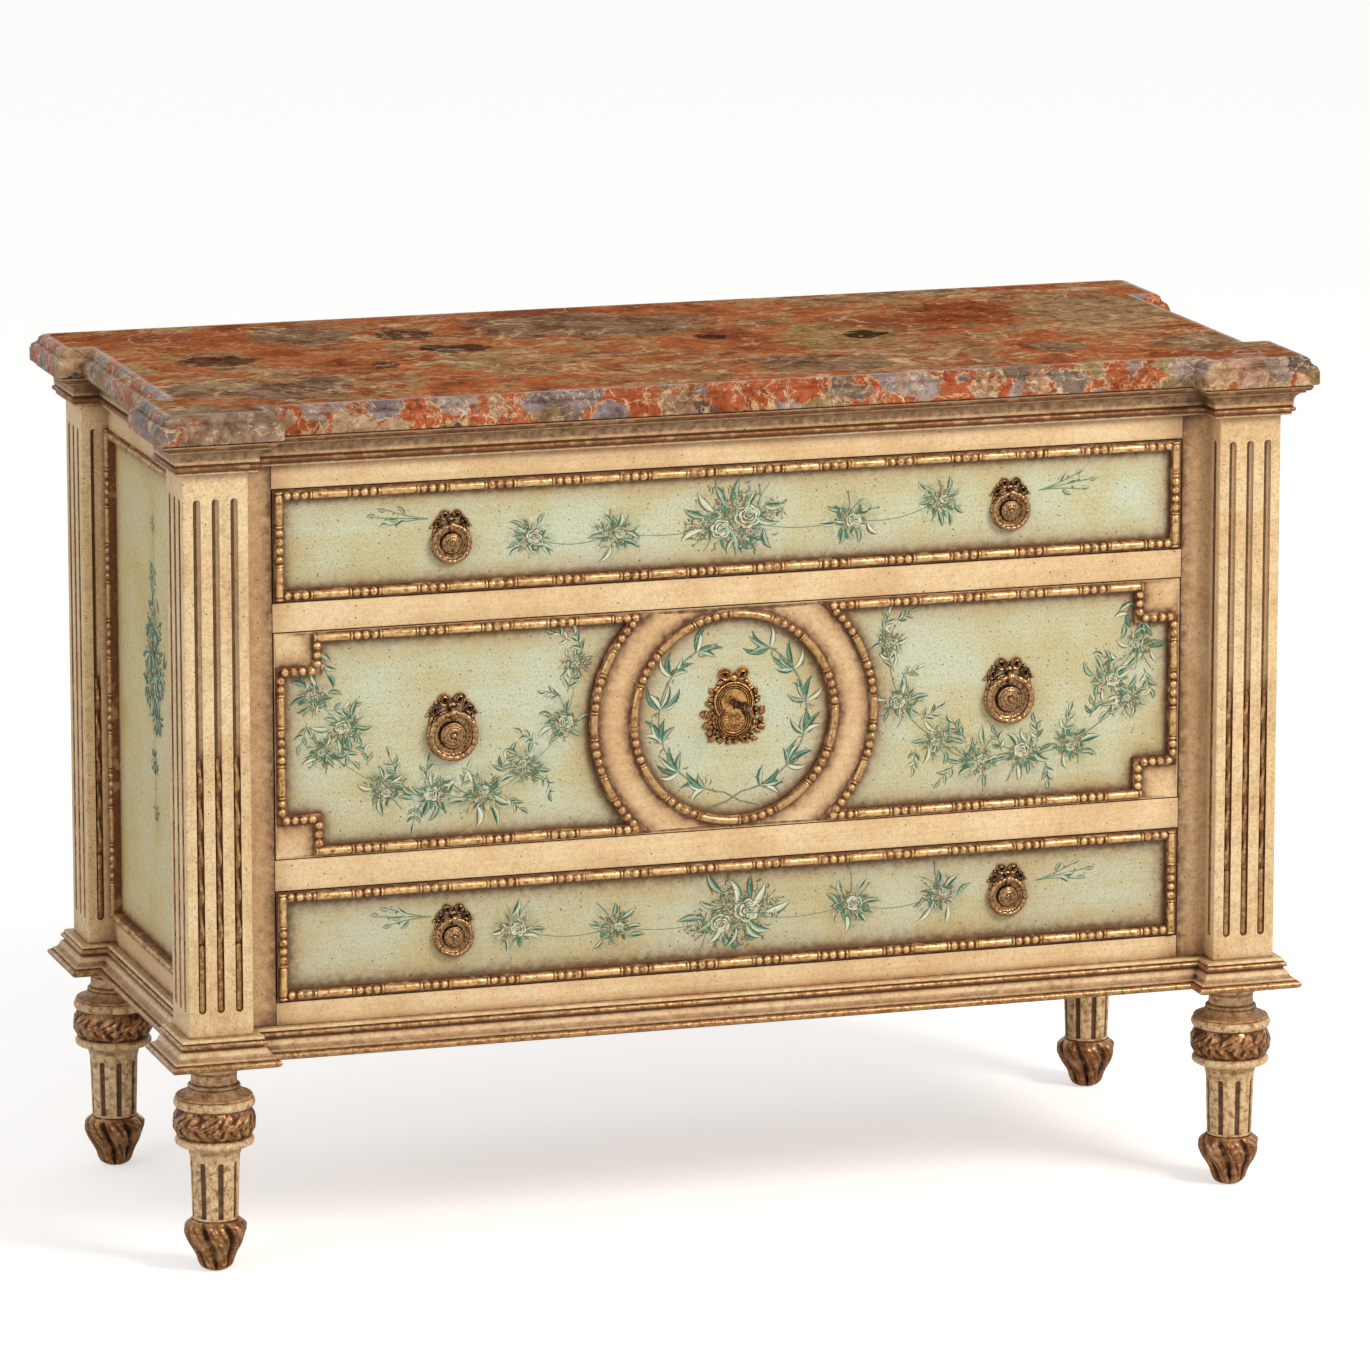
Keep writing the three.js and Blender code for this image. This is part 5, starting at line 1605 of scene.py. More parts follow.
# %% Legs
LEG_HEIGHT = base_bottom
LEG_COLUMNS = 192
SHAFT_FLUTES = 8
SHAFT_BOTTOM = 60.0
SHAFT_TOP = 121.0
SHAFT_RADIUS = 25.0
SHAFT_FLUTE_HALF = 3.3
BUD_TOP = 56.0
LEAF_RING_BOTTOM = 148.6
LEAF_RING_HEIGHT = 29.0
LEAVES_ROUND = 7
COLLAR = 2
leg_profile = profile(
    (6.0, 0.0),
    (14.9, 3.4, 0.09, GOLD),
    (18.5, 11.0, 0.06, GOLD),
    (21.6, 20.0, -0.02, GOLD),
    (25.7, 27.0, -0.02, GOLD),
    (30.6, 36.0, 0.02, GOLD),
    (32.0, 45.0, 0.1, GOLD),
    (28.8, 53.0, 0.14, GOLD),
    (24.2, 56.6, 0.06, GOLD),
    (24.4, 59.0, 0.2, CREAM),
    (26.3, SHAFT_TOP, 0.0, CREAM),
    (27.5, 128.0, -0.05, CREAM),
    (31.5, 135.0, -0.12, CREAM),
    (39.4, 138.0, 0.0, CREAM),
    (39.4, 146.4, 0.34, CREAM),
    (38.0, 147.4, 0.0, CREAM),
    (38.4, LEAF_RING_BOTTOM, 0.0, GOLD),
    (39.4, LEAF_RING_BOTTOM + LEAF_RING_HEIGHT, 0.17, GOLD),
    (38.8, 178.8, 0.0, GOLD),
    (41.2, 179.4, 0.0, CREAM),
    (41.2, 188.6, 0.24, CREAM),
    (40.6, 189.6, 0.0, CREAM),
    (40.4, 191.6, 0.3, COLLAR),
    (27.6, 200.6, -0.16, COLLAR),
    (26.6, 203.4, 0.3, COLLAR),
    (25.0, 204.4, 0.0, CREAM),
    (24.6, 215.6, -0.04, CREAM),
    (27.4, 218.6, -0.08, CREAM),
    (27.8, 227.0, 0.3, CREAM),
    (26.8, LEG_HEIGHT, 0.0, CREAM),
)


def leaf_ring(height, turn):
    """Carving of the ring: two rows of leaves that lap over each other and lean to one side."""
    share = (height - LEAF_RING_BOTTOM) / LEAF_RING_HEIGHT
    if not 0 < share < 1:
        return 0.0
    lean = turn + 0.16 * math.sin(share * 5.0)
    relief = 0.0
    for row, (foot, tip, lift) in enumerate(((0.0, 0.62, 1.7), (0.34, 1.1, 1.1))):
        along = (share - foot) / (tip - foot)
        if not 0 <= along <= 1:
            continue
        place = (lean * LEAVES_ROUND / (2 * math.pi) + 0.5 * row) % 1.0 - 0.5
        half = 0.46 * math.sin(math.pi * min(0.25 + along * 0.75, 1.0)) ** 0.5
        inside = min(max((half - abs(place)) / 0.08, 0.0), 1.0)
        rib = 0.35 * math.exp(-(place / 0.06) ** 2) - 0.3 * math.exp(-((abs(place) - 0.14) / 0.05) ** 2)
        lobes = 0.25 * math.cos((abs(place) * 9 + along * 4) * math.pi)
        relief = max(relief, (lift * (1.0 - 0.35 * along) + rib + lobes) * inside)
    return 1.5 * relief - 1.6


def bud_leaves(height, turn):
    """Carving of the bud: long leaves that lean round it, with deep grooves and curled ribs between."""
    if height > BUD_TOP or height < 1.0:
        return 0.0
    share = height / BUD_TOP
    lean = turn + 0.55 * share ** 1.5
    place = lean * LEAVES_ROUND / (2 * math.pi) % 1.0 - 0.5
    groove = math.exp(-((abs(place) - 0.5) / 0.1) ** 2)
    rib = math.exp(-((place - 0.12 * math.sin(share * 6)) / 0.09) ** 2)
    curl = 0.5 * math.cos(2 * math.pi * (place * 3 + share * 1.4))
    strength = min(share * 6, 1.0) * min((1 - share) * 7, 1.0)
    return (0.8 * rib + 0.8 * curl + 3.6 * (math.cos(math.pi * place) - 0.75) - 3.6 * groove) * strength


def shaft_flute(height, turn):
    """Flutes of the shaft: round on top, square below."""
    if not SHAFT_BOTTOM <= height <= SHAFT_TOP:
        return 0.0
    pitch = 2 * math.pi / SHAFT_FLUTES
    aside = ((turn / pitch + 0.5) % 1.0 - 0.5) * pitch * SHAFT_RADIUS
    beyond = max(height - (SHAFT_TOP - SHAFT_FLUTE_HALF), 0.0)
    return -math.sqrt(max(SHAFT_FLUTE_HALF ** 2 - aside ** 2 - beyond ** 2, 0.0)) * 0.95


def carving_rows(points, finishes):
    """Rows as close as the profile has them, but fewer along the straight part of the flutes."""
    rows, row_finishes = [points[0]], []
    for index, span_finish in enumerate(finishes):
        long_flute = SHAFT_BOTTOM + 4 < points[index][1] < SHAFT_TOP - 8
        if long_flute and index % 6:
            continue
        rows.append(points[index + 1])
        row_finishes.append(span_finish)
    return np.array(rows), row_finishes


def carved_leg(name):
    low, high = corners(f"leg_{name}")
    centre = (low[:2] + high[:2]) / 2
    rows, finishes = carving_rows(leg_profile[0], leg_profile[1])
    lathe_hollows = profile_hollows(rows, 2, 0.7)
    turns = full_turn(LEG_COLUMNS)
    relief = np.array([
        [leaf_ring(height, turn) + bud_leaves(height, turn) + shaft_flute(height, turn) for turn in turns]
        for _, height in rows
    ])
    radii = rows[:, :1] + relief
    around = sum(np.roll(relief, step, axis=1) for step in range(-4, 5)) / 9
    # Painted shade with glaze: grooves of the carving and of the turning, the flutes and the gold parts are
    # darkened, and the collar most.
    hollows = np.clip((around - relief) / 0.5, 0.0, 1.0) + lathe_hollows[:, None]
    hollows += np.clip(-relief / 4.0, 0.0, 0.6)
    row_finish = np.append(finishes, CREAM)[:, None]
    hollows += np.select([row_finish == GOLD, row_finish == COLLAR], [0.2, 0.42], 0.08)
    tones = np.broadcast_to(np.where(row_finish == GOLD, 0.12, 0.85), radii.shape)
    finishes = [CREAM if finish == COLLAR else finish for finish in finishes]
    rings = np.stack((
        centre[0] + radii * np.cos(turns), centre[1] + radii * np.sin(turns),
        np.broadcast_to(rows[:, 1:], radii.shape),
    ), axis=2)
    shape = Shape()
    shape.skin(rings, finishes, np.clip(hollows, 0.0, 1.0).ravel(), tones.ravel())
    new_piece(f"turned_leg_{name}", shape, [cream_upright, gold_leaf], "carcass",
              [f"leg_{name}"], sharp=60.0)


for leg in ("front_left", "front_right", "back_left", "back_right"):
    carved_leg(leg)

# %% [markdown]
# ## Strokes and leaves
# A leaf of bronze, a petal of paint and a ribbon have one thing in common: each is a low ridge along a
# line, wide in the middle and closed at its ends. One function draws them all. Across the ridge there
# are seven points, so that the edges can hold a dark outline and each half its own tone.

# %% Strokes
ACROSS_RIDGE = np.array((-1.0, -0.7, -0.48, 0.0, 0.48, 0.7, 1.0))
RIDGE_HEIGHT = np.array((0.0, 0.72, 0.88, 1.0, 0.88, 0.72, 0.0))
OUTLINED = np.array((1.0, 1.0, 0.0, 0.45, 0.0, 1.0, 1.0))
CAST = np.array((1.0, 0.35, 0.0, 0.3, 0.0, 0.35, 1.0))


def stroke(shape, place_point, path, half_widths, height, base=0.0, tones=(0.0, 0.0), edges=OUTLINED,
           root=0.3):
    """A ridge along a path. tones are those of its left and right halves."""
    path = np.asarray(path, float)
    along = unit(np.gradient(path, axis=0))
    across = np.stack((-along[:, 1], along[:, 0]), axis=1)
    half_widths = np.broadcast_to(half_widths, len(path))
    heights = np.minimum(height, 0.25 * height + half_widths * 0.8)
    tone_row = np.interp(ACROSS_RIDGE, (-0.3, 0.3), tones)
    rings, hollows, tone_rows = [], [], []
    for centre, side, half, rise in zip(path, across, half_widths, heights):
        places = centre + np.outer(ACROSS_RIDGE * half, side)
        under = centre + np.outer((0.95 * half, -0.95 * half), side)
        rings.append(np.concatenate((
            place_point(places, base + rise * RIDGE_HEIGHT), place_point(under, np.full(2, base - root)),
        ))[::-1])
        hollows.append(np.concatenate((edges, (1.0, 1.0)))[::-1])
        tone_rows.append(np.concatenate((tone_row, tone_row[:2]))[::-1])
    shape.skin(rings, 0, np.concatenate(hollows), np.concatenate(tone_rows))


def curved_path(start, turn, length, bend, steps):
    """A path that starts at a place and bends evenly to one side."""
    shares = np.linspace(0.0, 1.0, steps)
    turns = turn + bend * (shares - 0.5)
    step = length / (steps - 1)
    moves = np.stack((np.cos(turns), np.sin(turns)), axis=1) * step
    return np.array(start, float) + np.vstack(((0.0, 0.0), np.cumsum(moves[:-1], axis=0)))


def pointed(steps, half, fullest=0.4):
    """Half-widths of a pointed leaf."""
    shares = np.linspace(0.0, 1.0, steps)
    power = math.log(0.5) / math.log(fullest)
    return np.maximum(half * np.sin(math.pi * shares ** power), 0.06 * half)


def round_ended(steps, half):
    """Half-widths of a petal: narrow at its root and round at its tip."""
    shares = np.linspace(0.0, 1.0, steps)
    return np.maximum(half * (1 - (1 - shares) ** 2) ** 0.5 * (1 - shares ** 6) ** 0.5, 0.15 * half)


# %% [markdown]
# ## Ring pulls
# Each pull is a casting: a turned plate with a gadrooned rim and a stepped rosette, a ribbon bow over
# it, and a small eye. The ring hangs in the eye. It is carved like a band of laurel, so its tube
# swells and twists, and it keeps clear of the rosette, where the gap looks almost black.

# %% Turned plates and ribbons
def turned(shape, place_point, centre, radii, heights, columns, relief=None, tone=0.0):
    """A turned disc, lying on a surface. relief adds height at each radius and turn."""
    turns = full_turn(columns)
    rings = []
    for radius, height in zip(radii, heights):
        places = on_circle(turns, radius, centre)
        extra = relief(radius, turns) if relief else 0.0
        rings.append(place_point(places, np.full(columns, height) + extra))
    shape.skin(rings[::-1], 0, 0.0, tone)


def closed_skin(shape, rings, hollow=0.0, tone=0.0):
    """Rings joined into a tube whose last ring meets its first."""
    rings = np.asarray(rings, float)
    rows, columns = rings.shape[:2]
    total = rows * columns
    faces = [tuple(corner % total for corner in face) for face in grid_faces(rows + 1, columns, wrap=True)]
    shape.add(rings, faces, 0, hollow, tone)


def ribbon_loop(shape, place_point, centre, reach, turn, half, height, base, steps=28):
    """A ribbon loop: an oval with a ridge along both of its edges, over a dark hollow."""
    oval = on_circle(full_turn(steps), 1.0) * reach
    spin = np.array(((math.cos(turn), -math.sin(turn)), (math.sin(turn), math.cos(turn))))
    path = np.array(centre) + oval @ spin.T
    along = unit(np.roll(path, -1, axis=0) - np.roll(path, 1, axis=0))
    across = np.stack((-along[:, 1], along[:, 0]), axis=1)
    section = np.array((
        (-1, -0.4), (-1, 0.75), (-0.6, 1.0), (0.0, 0.75), (0.6, 1.0), (1, 0.75), (1, -0.4),
    ))
    rings = []
    for place, side in zip(path, across):
        points = place + np.outer(section[:, 0] * half, side)
        rings.append(place_point(points, base + section[:, 1] * height))
    closed_skin(shape, np.array(rings)[:, ::-1])
    floor_heights = (base + 0.3, base + 0.3, base - 0.4)
    turned(shape, place_point, centre, (0.05, min(reach), min(reach)), floor_heights, 16)


def on_field(points, height):
    """Points in x and z on the field of a drawer, raised towards the viewer."""
    return np.column_stack((points[:, 0], FIELD - height, points[:, 1]))


# %% Pulls
RING_RADIUS = 24.0
RING_TUBE = 3.6
RING_LIFT = 7.2
RING_STRANDS = 11
BOW_LOOPS = [(8.4, 38.2, 4.7, 4.2, 2.4, 0.9), (18.8, 28.2, 4.0, 3.4, 2.1, -0.55)]
BOW_LEAVES = [
    (22.0, 22.0, -1.15, 12.5, 2.6), (24.0, 24.5, -0.35, 6.5, 2.4), (11.5, 29.5, 0.1, 9.0, 2.4),
    (2.0, 33.0, 1.9, 7.0, 2.2), (14.5, 33.0, 0.75, 7.0, 2.0),
]
PLATE_STEPS = [
    (0.02, 10.4), (1.4, 10.6), (2.6, 10.1), (3.2, 8.9), (4.0, 8.8), (5.2, 9.3), (6.2, 9.2), (6.9, 8.3),
    (7.8, 7.8), (9.2, 8.0), (10.2, 7.8), (10.9, 6.8), (11.7, 6.4), (12.7, 6.6), (13.4, 6.3), (13.9, 5.2),
    (14.0, 1.5), (19.5, 1.2), (20.6, 1.4), (21.4, 2.3), (24.0, 2.8), (26.4, 2.6), (27.5, 1.7), (28.0, 0.3),
]


def pull(drawer, side):
    """Drawn at full size about the middle of its plate, then placed at the size of the CAD ring."""
    ring_low, ring_high = corners(f"pull_ring_{drawer}_{side}")
    size = (ring_high[2] - ring_low[2]) / (2 * (RING_RADIUS + RING_TUBE))
    middle = (ring_low + ring_high) / 2

    def placed(points, height):
        points = np.asarray(points, float)
        deep = FIELD - np.broadcast_to(height, len(points)) * size
        return np.column_stack((middle[0] + points[:, 0] * size, deep, middle[2] + points[:, 1] * size))

    plate = Shape()
    radii, heights = zip(*PLATE_STEPS)
    turned(plate, placed, (0.0, 0.0), radii, heights, 144,
           lambda radius, turns: 0.5 * np.cos(turns * 36) * (21.0 < radius < 27.8))
    for way in (-1, 1):
        for x, z, wide, tall, half, lean in BOW_LOOPS:
            ribbon_loop(plate, placed, (way * x, z), (wide, tall), way * (math.pi / 2 - lean), half, 3.6, 0.3)
        for x, z, turn, length, half in BOW_LEAVES:
            heading = turn if way > 0 else math.pi - turn
            path = curved_path((way * x, z), heading, length, way * 0.7, 12)
            stroke(plate, placed, path, pointed(12, half), 3.2, 0.3, edges=CAST, root=0.5)
    turned(plate, placed, (0.0, 31.5), (0.05, 1.6, 3.2, 4.4, 5.0, 5.3), (5.4, 5.2, 4.6, 3.4, 1.8, -0.2), 24)
    band = np.array(((-3.8, 5.2), (-3.2, 6.4), (-1.4, 6.9), (0.0, 6.4), (1.4, 6.9), (3.2, 6.4), (3.8, 5.2),
                     (3.2, 4.85), (-3.2, 4.85)))
    eye = []
    for turn in full_turn(32):
        points = np.column_stack((band[:, 0], RING_RADIUS + band[:, 1] * math.cos(turn)))
        eye.append(placed(points, RING_LIFT + band[:, 1] * math.sin(turn)))
    closed_skin(plate, eye)
    new_piece(f"cast_plate_{drawer}_{side}", plate, [bronze], f"drawer_{drawer}",
              [f"pull_plate_{drawer}_{side}"], sharp=50.0)

    ring = Shape()
    minor = full_turn(16)
    rows = []
    for turn in full_turn(264):
        strand = np.abs(np.cos(RING_STRANDS * turn + 0.9 * np.sin(minor))) ** 0.6
        tube = RING_TUBE * (0.78 + 0.21 * strand)
        reach = RING_RADIUS + tube * np.cos(minor)
        points = np.column_stack((reach * math.cos(turn), reach * math.sin(turn)))
        rows.append(placed(points, RING_LIFT + tube * np.sin(minor)))
    closed_skin(ring, rows)
    new_piece(f"carved_ring_{drawer}_{side}", ring, [bronze], f"ring_{drawer}_{side}",
              [f"pull_ring_{drawer}_{side}"], sharp=50.0)


for drawer in ("top", "middle", "bottom"):
    pull(drawer, "left")
    pull(drawer, "right")

# %% [markdown]
# ## Escutcheon and key
# The escutcheon is a gilt casting: a round field with a beaded rim round the keyhole, a smaller shell
# below it, a bow on top, and acanthus leaves that curl out at the sides and the foot. The dark key
# stands out of it. Its bow is seen almost edge-on, so it reads as a short knobbly bar.

# %% Escutcheon
KEY_HEIGHT = (corners("key")[0][2] + corners("key")[1][2]) / 2
LOWER_FIELD = np.array((0.0, -19.5))
LEAF_ROOTS = [
    (20.5, 10.0, 0.75, 8.0), (22.0, 3.0, 0.35, 9.5), (24.0, -4.0, 0.55, 11.0), (26.0, -9.0, -0.1, 11.5),
    (27.0, -15.0, 0.3, 11.0), (27.0, -21.0, -0.45, 11.0), (25.5, -26.0, -0.05, 12.0),
    (22.5, -31.0, -0.8, 11.0), (18.5, -35.0, -0.5, 11.0), (14.0, -37.0, -1.15, 10.0),
    (9.0, -39.0, -0.9, 9.5), (4.5, -39.5, -1.45, 8.0),
]
BOW_TAILS = [(12.0, 24.5, -0.5, 9.0, 2.6), (16.5, 19.0, -0.9, 8.0, 2.4), (3.0, 26.0, 0.9, 8.0, 2.2),
             (16.0, 14.0, 0.2, 8.0, 2.4)]
LOWER_STEPS = [
    (0.05, 2.9), (2.0, 2.9), (2.8, 2.4), (3.6, 2.7), (5.0, 3.0), (9.0, 3.0), (12.4, 3.0), (13.2, 2.4),
    (14.0, 3.2), (14.8, 3.3), (15.5, 2.6), (16.3, 3.6), (17.2, 3.6), (18.0, 2.6), (19.0, 3.5),
    (19.8, 3.2), (20.4, 0.3),
]


def escutcheon():
    low, high = corners("escutcheon")
    carver = np.random.default_rng(7)
    shape = Shape()

    def placed(points, height):
        points = np.clip(np.asarray(points) + (0.0, KEY_HEIGHT), low[[0, 2]] + 0.5, high[[0, 2]] - 0.5)
        return on_field(points, np.minimum(height, FIELD - low[1] - 0.05))

    turned(shape, placed, (0.0, -16.0), (0.05, 22.0, 25.0, 26.0), (1.4, 1.4, 1.0, -0.3), 64)
    for way in (-1, 1):
        for row, (inward, grow, lift) in enumerate(((0.0, 1.0, 0.2), (4.0, 0.75, 1.3))):
            for index, (x, z, turn, length) in enumerate(LEAF_ROOTS):
                root = np.array((x, z)) - (inward * math.cos(turn), inward * math.sin(turn))
                heading = turn + 0.35 * row * (-1) ** index + carver.uniform(-0.3, 0.3)
                reach = length * grow * carver.uniform(0.7, 1.25)
                path = curved_path(root, heading, reach, carver.uniform(-1.9, 1.9), 13) * (way, 1.0)
                lobes = 1 + 0.3 * np.cos(np.linspace(0, 6 * math.pi, 13))
                half = pointed(13, 3.3 * grow * carver.uniform(0.8, 1.25), 0.5) * lobes
                height = 2.9 * carver.uniform(0.7, 1.2)
                stroke(shape, placed, path, half, height, lift, (0.6, 0.3), CAST, 0.6)
        ribbon_loop(shape, placed, (way * 9.2, 30.0), (5.6, 4.2), way * 0.45, 2.3, 3.8, 0.3)
        for x, z, turn, length, half in BOW_TAILS:
            path = curved_path((x, z), turn, length, 0.9, 12) * (way, 1.0)
            stroke(shape, placed, path, pointed(12, half), 3.2, 0.6, edges=CAST, root=0.8)
    turned(shape, placed, (0.0, 25.5), (0.05, 1.8, 3.4, 4.4, 4.8), (4.9, 4.7, 4.0, 2.4, 0.0), 20)
    radii, heights = zip(*LOWER_STEPS)
    turned(shape, placed, LOWER_FIELD, radii, heights, 132,
           lambda radius, turns: 0.35 * np.cos(turns * 18) * (4.2 < radius < 11.0)
           + 0.35 * np.cos(turns * 44) * (18.5 < radius < 20.0), 0.35)
    upper_field(shape, placed)
    new_piece("cast_escutcheon", shape, [gilt_bronze], "drawer_middle", ["escutcheon"], sharp=50.0)


def keyhole_radius(turns):
    """Distance from the middle to the edge of the keyhole: round, with a slot below."""
    aside = np.abs(np.cos(turns))
    slot = np.where(np.sin(turns) < 0, np.minimum(8.5, 1.25 / np.maximum(aside, 1e-3)), 0.0)
    return np.maximum(3.3, slot)


def upper_field(shape, placed):
    """The round field: grooves and a roped rim that stop where the lower field begins, and the keyhole."""
    turns = full_turn(168)
    hole = keyhole_radius(turns)
    steps = [(hole + (14.4 - hole) * share, height) for share, height in (
        (0.0, 0.3), (0.0, 3.3), (0.05, 3.6), (0.3, 3.5), (0.7, 3.5), (1.0, 3.6))]
    steps += [(radius, height) for radius, height in (
        (15.0, 2.9), (15.8, 3.9), (16.6, 3.9), (17.2, 3.0), (18.0, 4.0), (18.8, 3.9), (19.4, 3.0),
        (20.3, 4.5), (21.2, 4.7), (22.1, 4.3), (22.6, 3.0), (22.8, 0.3))]
    rows = []
    for radius, height in steps:
        points = on_circle(turns, radius)
        roped = height + 0.4 * np.cos(turns * 46 + radius) * ((radius > 19.8) & (radius < 22.4))
        open_field = np.clip((17.0 - np.hypot(*(points - LOWER_FIELD).T)) / 1.5, 0.0, 1.0) * (radius > 14.0)
        rows.append(placed(points, roped * (1 - open_field) + np.minimum(roped, 2.4) * open_field))
    closed_skin(shape, rows[::-1])


escutcheon()

# %% Key
def dark_key():
    low, high = corners("key")
    shape = Shape()
    centre = np.array((0.0, KEY_HEIGHT))
    face = FIELD - 5.0
    profile_points = [
        (high[1], 0.6), (high[1], 2.6), (face + 2.0, 2.8), (face - 3.0, 2.8), (face - 3.4, 4.4),
        (face - 4.6, 4.9), (face - 5.8, 4.4), (face - 6.4, 3.0), (face - 8.0, 2.6), (face - 10.5, 2.6),
        (face - 11.2, 3.6), (face - 12.6, 4.5), (face - 14.2, 4.5), (face - 15.6, 3.6), (face - 16.4, 2.5),
        (face - 18.0, 2.3), (face - 19.2, 3.2), (face - 20.6, 3.9), (face - 22.0, 3.4), (face - 23.4, 2.2),
        (face - 25.4, 1.8), (face - 26.0, 0.5),
    ]
    turns = full_turn(24)
    rings = [np.column_stack((radius * np.cos(turns), np.full(24, y), KEY_HEIGHT + radius * np.sin(turns)))
             for y, radius in profile_points]
    shape.skin(rings, 0, 0.0)
    bit = soft_rectangle((-1.0, KEY_HEIGHT - 8.5), (1.0, KEY_HEIGHT - 1.0), 0.4, 2)
    rings = [np.column_stack((bit[:, 0], np.full(len(bit), y), bit[:, 1]))
             for y in (high[1] - 0.2, high[1] - 8)]
    shape.skin(rings, 0, 0.0)
    middle = (low[1] + 13.5, KEY_HEIGHT)
    minor = full_turn(12)
    rows = []
    for turn in full_turn(72):
        scallop = 1.0 - 0.06 * (0.5 + 0.5 * math.cos(3 * turn - math.pi))
        spoke = np.array((math.cos(turn) * 10.9, math.sin(turn) * 6.4)) * scallop
        outward = unit(np.array((math.cos(turn), math.sin(turn) * 1.2)))
        half = 2.1 + 0.35 * math.cos(12 * turn)
        rows.append(np.column_stack((
            1.95 * np.sin(minor), middle[0] + spoke[0] + half * np.cos(minor) * outward[0],
            middle[1] + spoke[1] + half * np.cos(minor) * outward[1])))
    closed_skin(shape, rows)
    new_piece("turned_key", shape, [iron], "key", ["key"], sharp=50.0)


dark_key()

# %% [markdown]
# ## Painted flowers
# The fields carry sprays of flowers in thick tempera, old enough to be worn through here and there. The
# painter lays each leaf in two strokes, one teal and one nearly white, and draws a fine dark line round
# it. The design here is a plain one of its own: sprigs of narrow leaves, open roses, and flower heads
# that are only stippled, on thin stems with buds. Each stroke stands 0.1 to 0.3 mm proud, like the
# paint does. "tone" runs from deep teal at 0 through white at 0.8 to pink and olive at 1.

# %% Tempera of the flowers
def flower_paint():
    material, tree, shader = new_material("flower_tempera")
    shifted = add_node(
        tree, "ShaderNodeMath", {0: mottling(tree, 3.5, 4.0), 1: 0.3, 2: -0.15}, operation="MULTIPLY_ADD",
    )
    shifted = add_node(tree, "ShaderNodeMath", {0: shifted, 1: point_number(tree, "tone")}, operation="ADD")
    paint = add_node(
        tree, "ShaderNodeValToRGB", {"Fac": shifted},
        stops=[(0.0, "#20523F"), (0.18, "#3C7660"), (0.34, "#7A9F88"), (0.5, "#A7B591"), (0.64, "#C9CFB2"),
               (0.8, "#E0E3CC"), (0.92, "#D9BD9C"), (1.0, "#7E7644")],
    )
    line = add_node(
        tree, "ShaderNodeMapRange",
        {"Value": point_number(tree, "hollow"), "From Min": 0.3, "From Max": 0.9, "To Max": 0.9},
    )
    worn = patches(tree, 0.56, 0.7, 0.6, 5.0, 6.0, 0.7)
    set_sockets(tree, shader, {
        "Base Color": coats(tree, paint, (line, "#2E3A20"), (worn, "#C3C49E")), "Roughness": 0.5,
    })
    return material


flower_tempera = flower_paint()

# %% Leaves, roses and sprigs
brush = np.random.default_rng(21)
LEAF_TONES = [(0.06, 0.4), (0.1, 0.72), (0.68, 0.2), (0.64, 0.76), (0.3, 0.66), (1.0, 0.7)]
LEAF_ODDS = (0.14, 0.32, 0.24, 0.18, 0.1, 0.02)
PETAL_TONES = [(0.84, 0.34), (0.93, 0.6), (0.8, 0.98), (0.9, 0.16), (0.72, 0.26)]
DAB_TONES = [(0.82, 0.82), (0.92, 0.86), (1.0, 1.0), (0.1, 0.25), (0.55, 0.7)]
BOUQUET_HEADS = [(-0.1, 0.34, 0.42, 110), (0.85, 0.08, 0.36, 90), (-0.85, -0.2, 0.4, 90),
                 (0.25, -0.4, 0.42, 80)]
SHADED = np.array((1.0, 1.0, 0.5, 0.35, 0.0, 0.5, 1.0))
INKED = OUTLINED * 0.8 + 0.2


def spoke(turn, reach, squash=1.0):
    """A step from a middle towards a turn."""
    return np.array((math.cos(turn) * reach, math.sin(turn) * reach * squash))


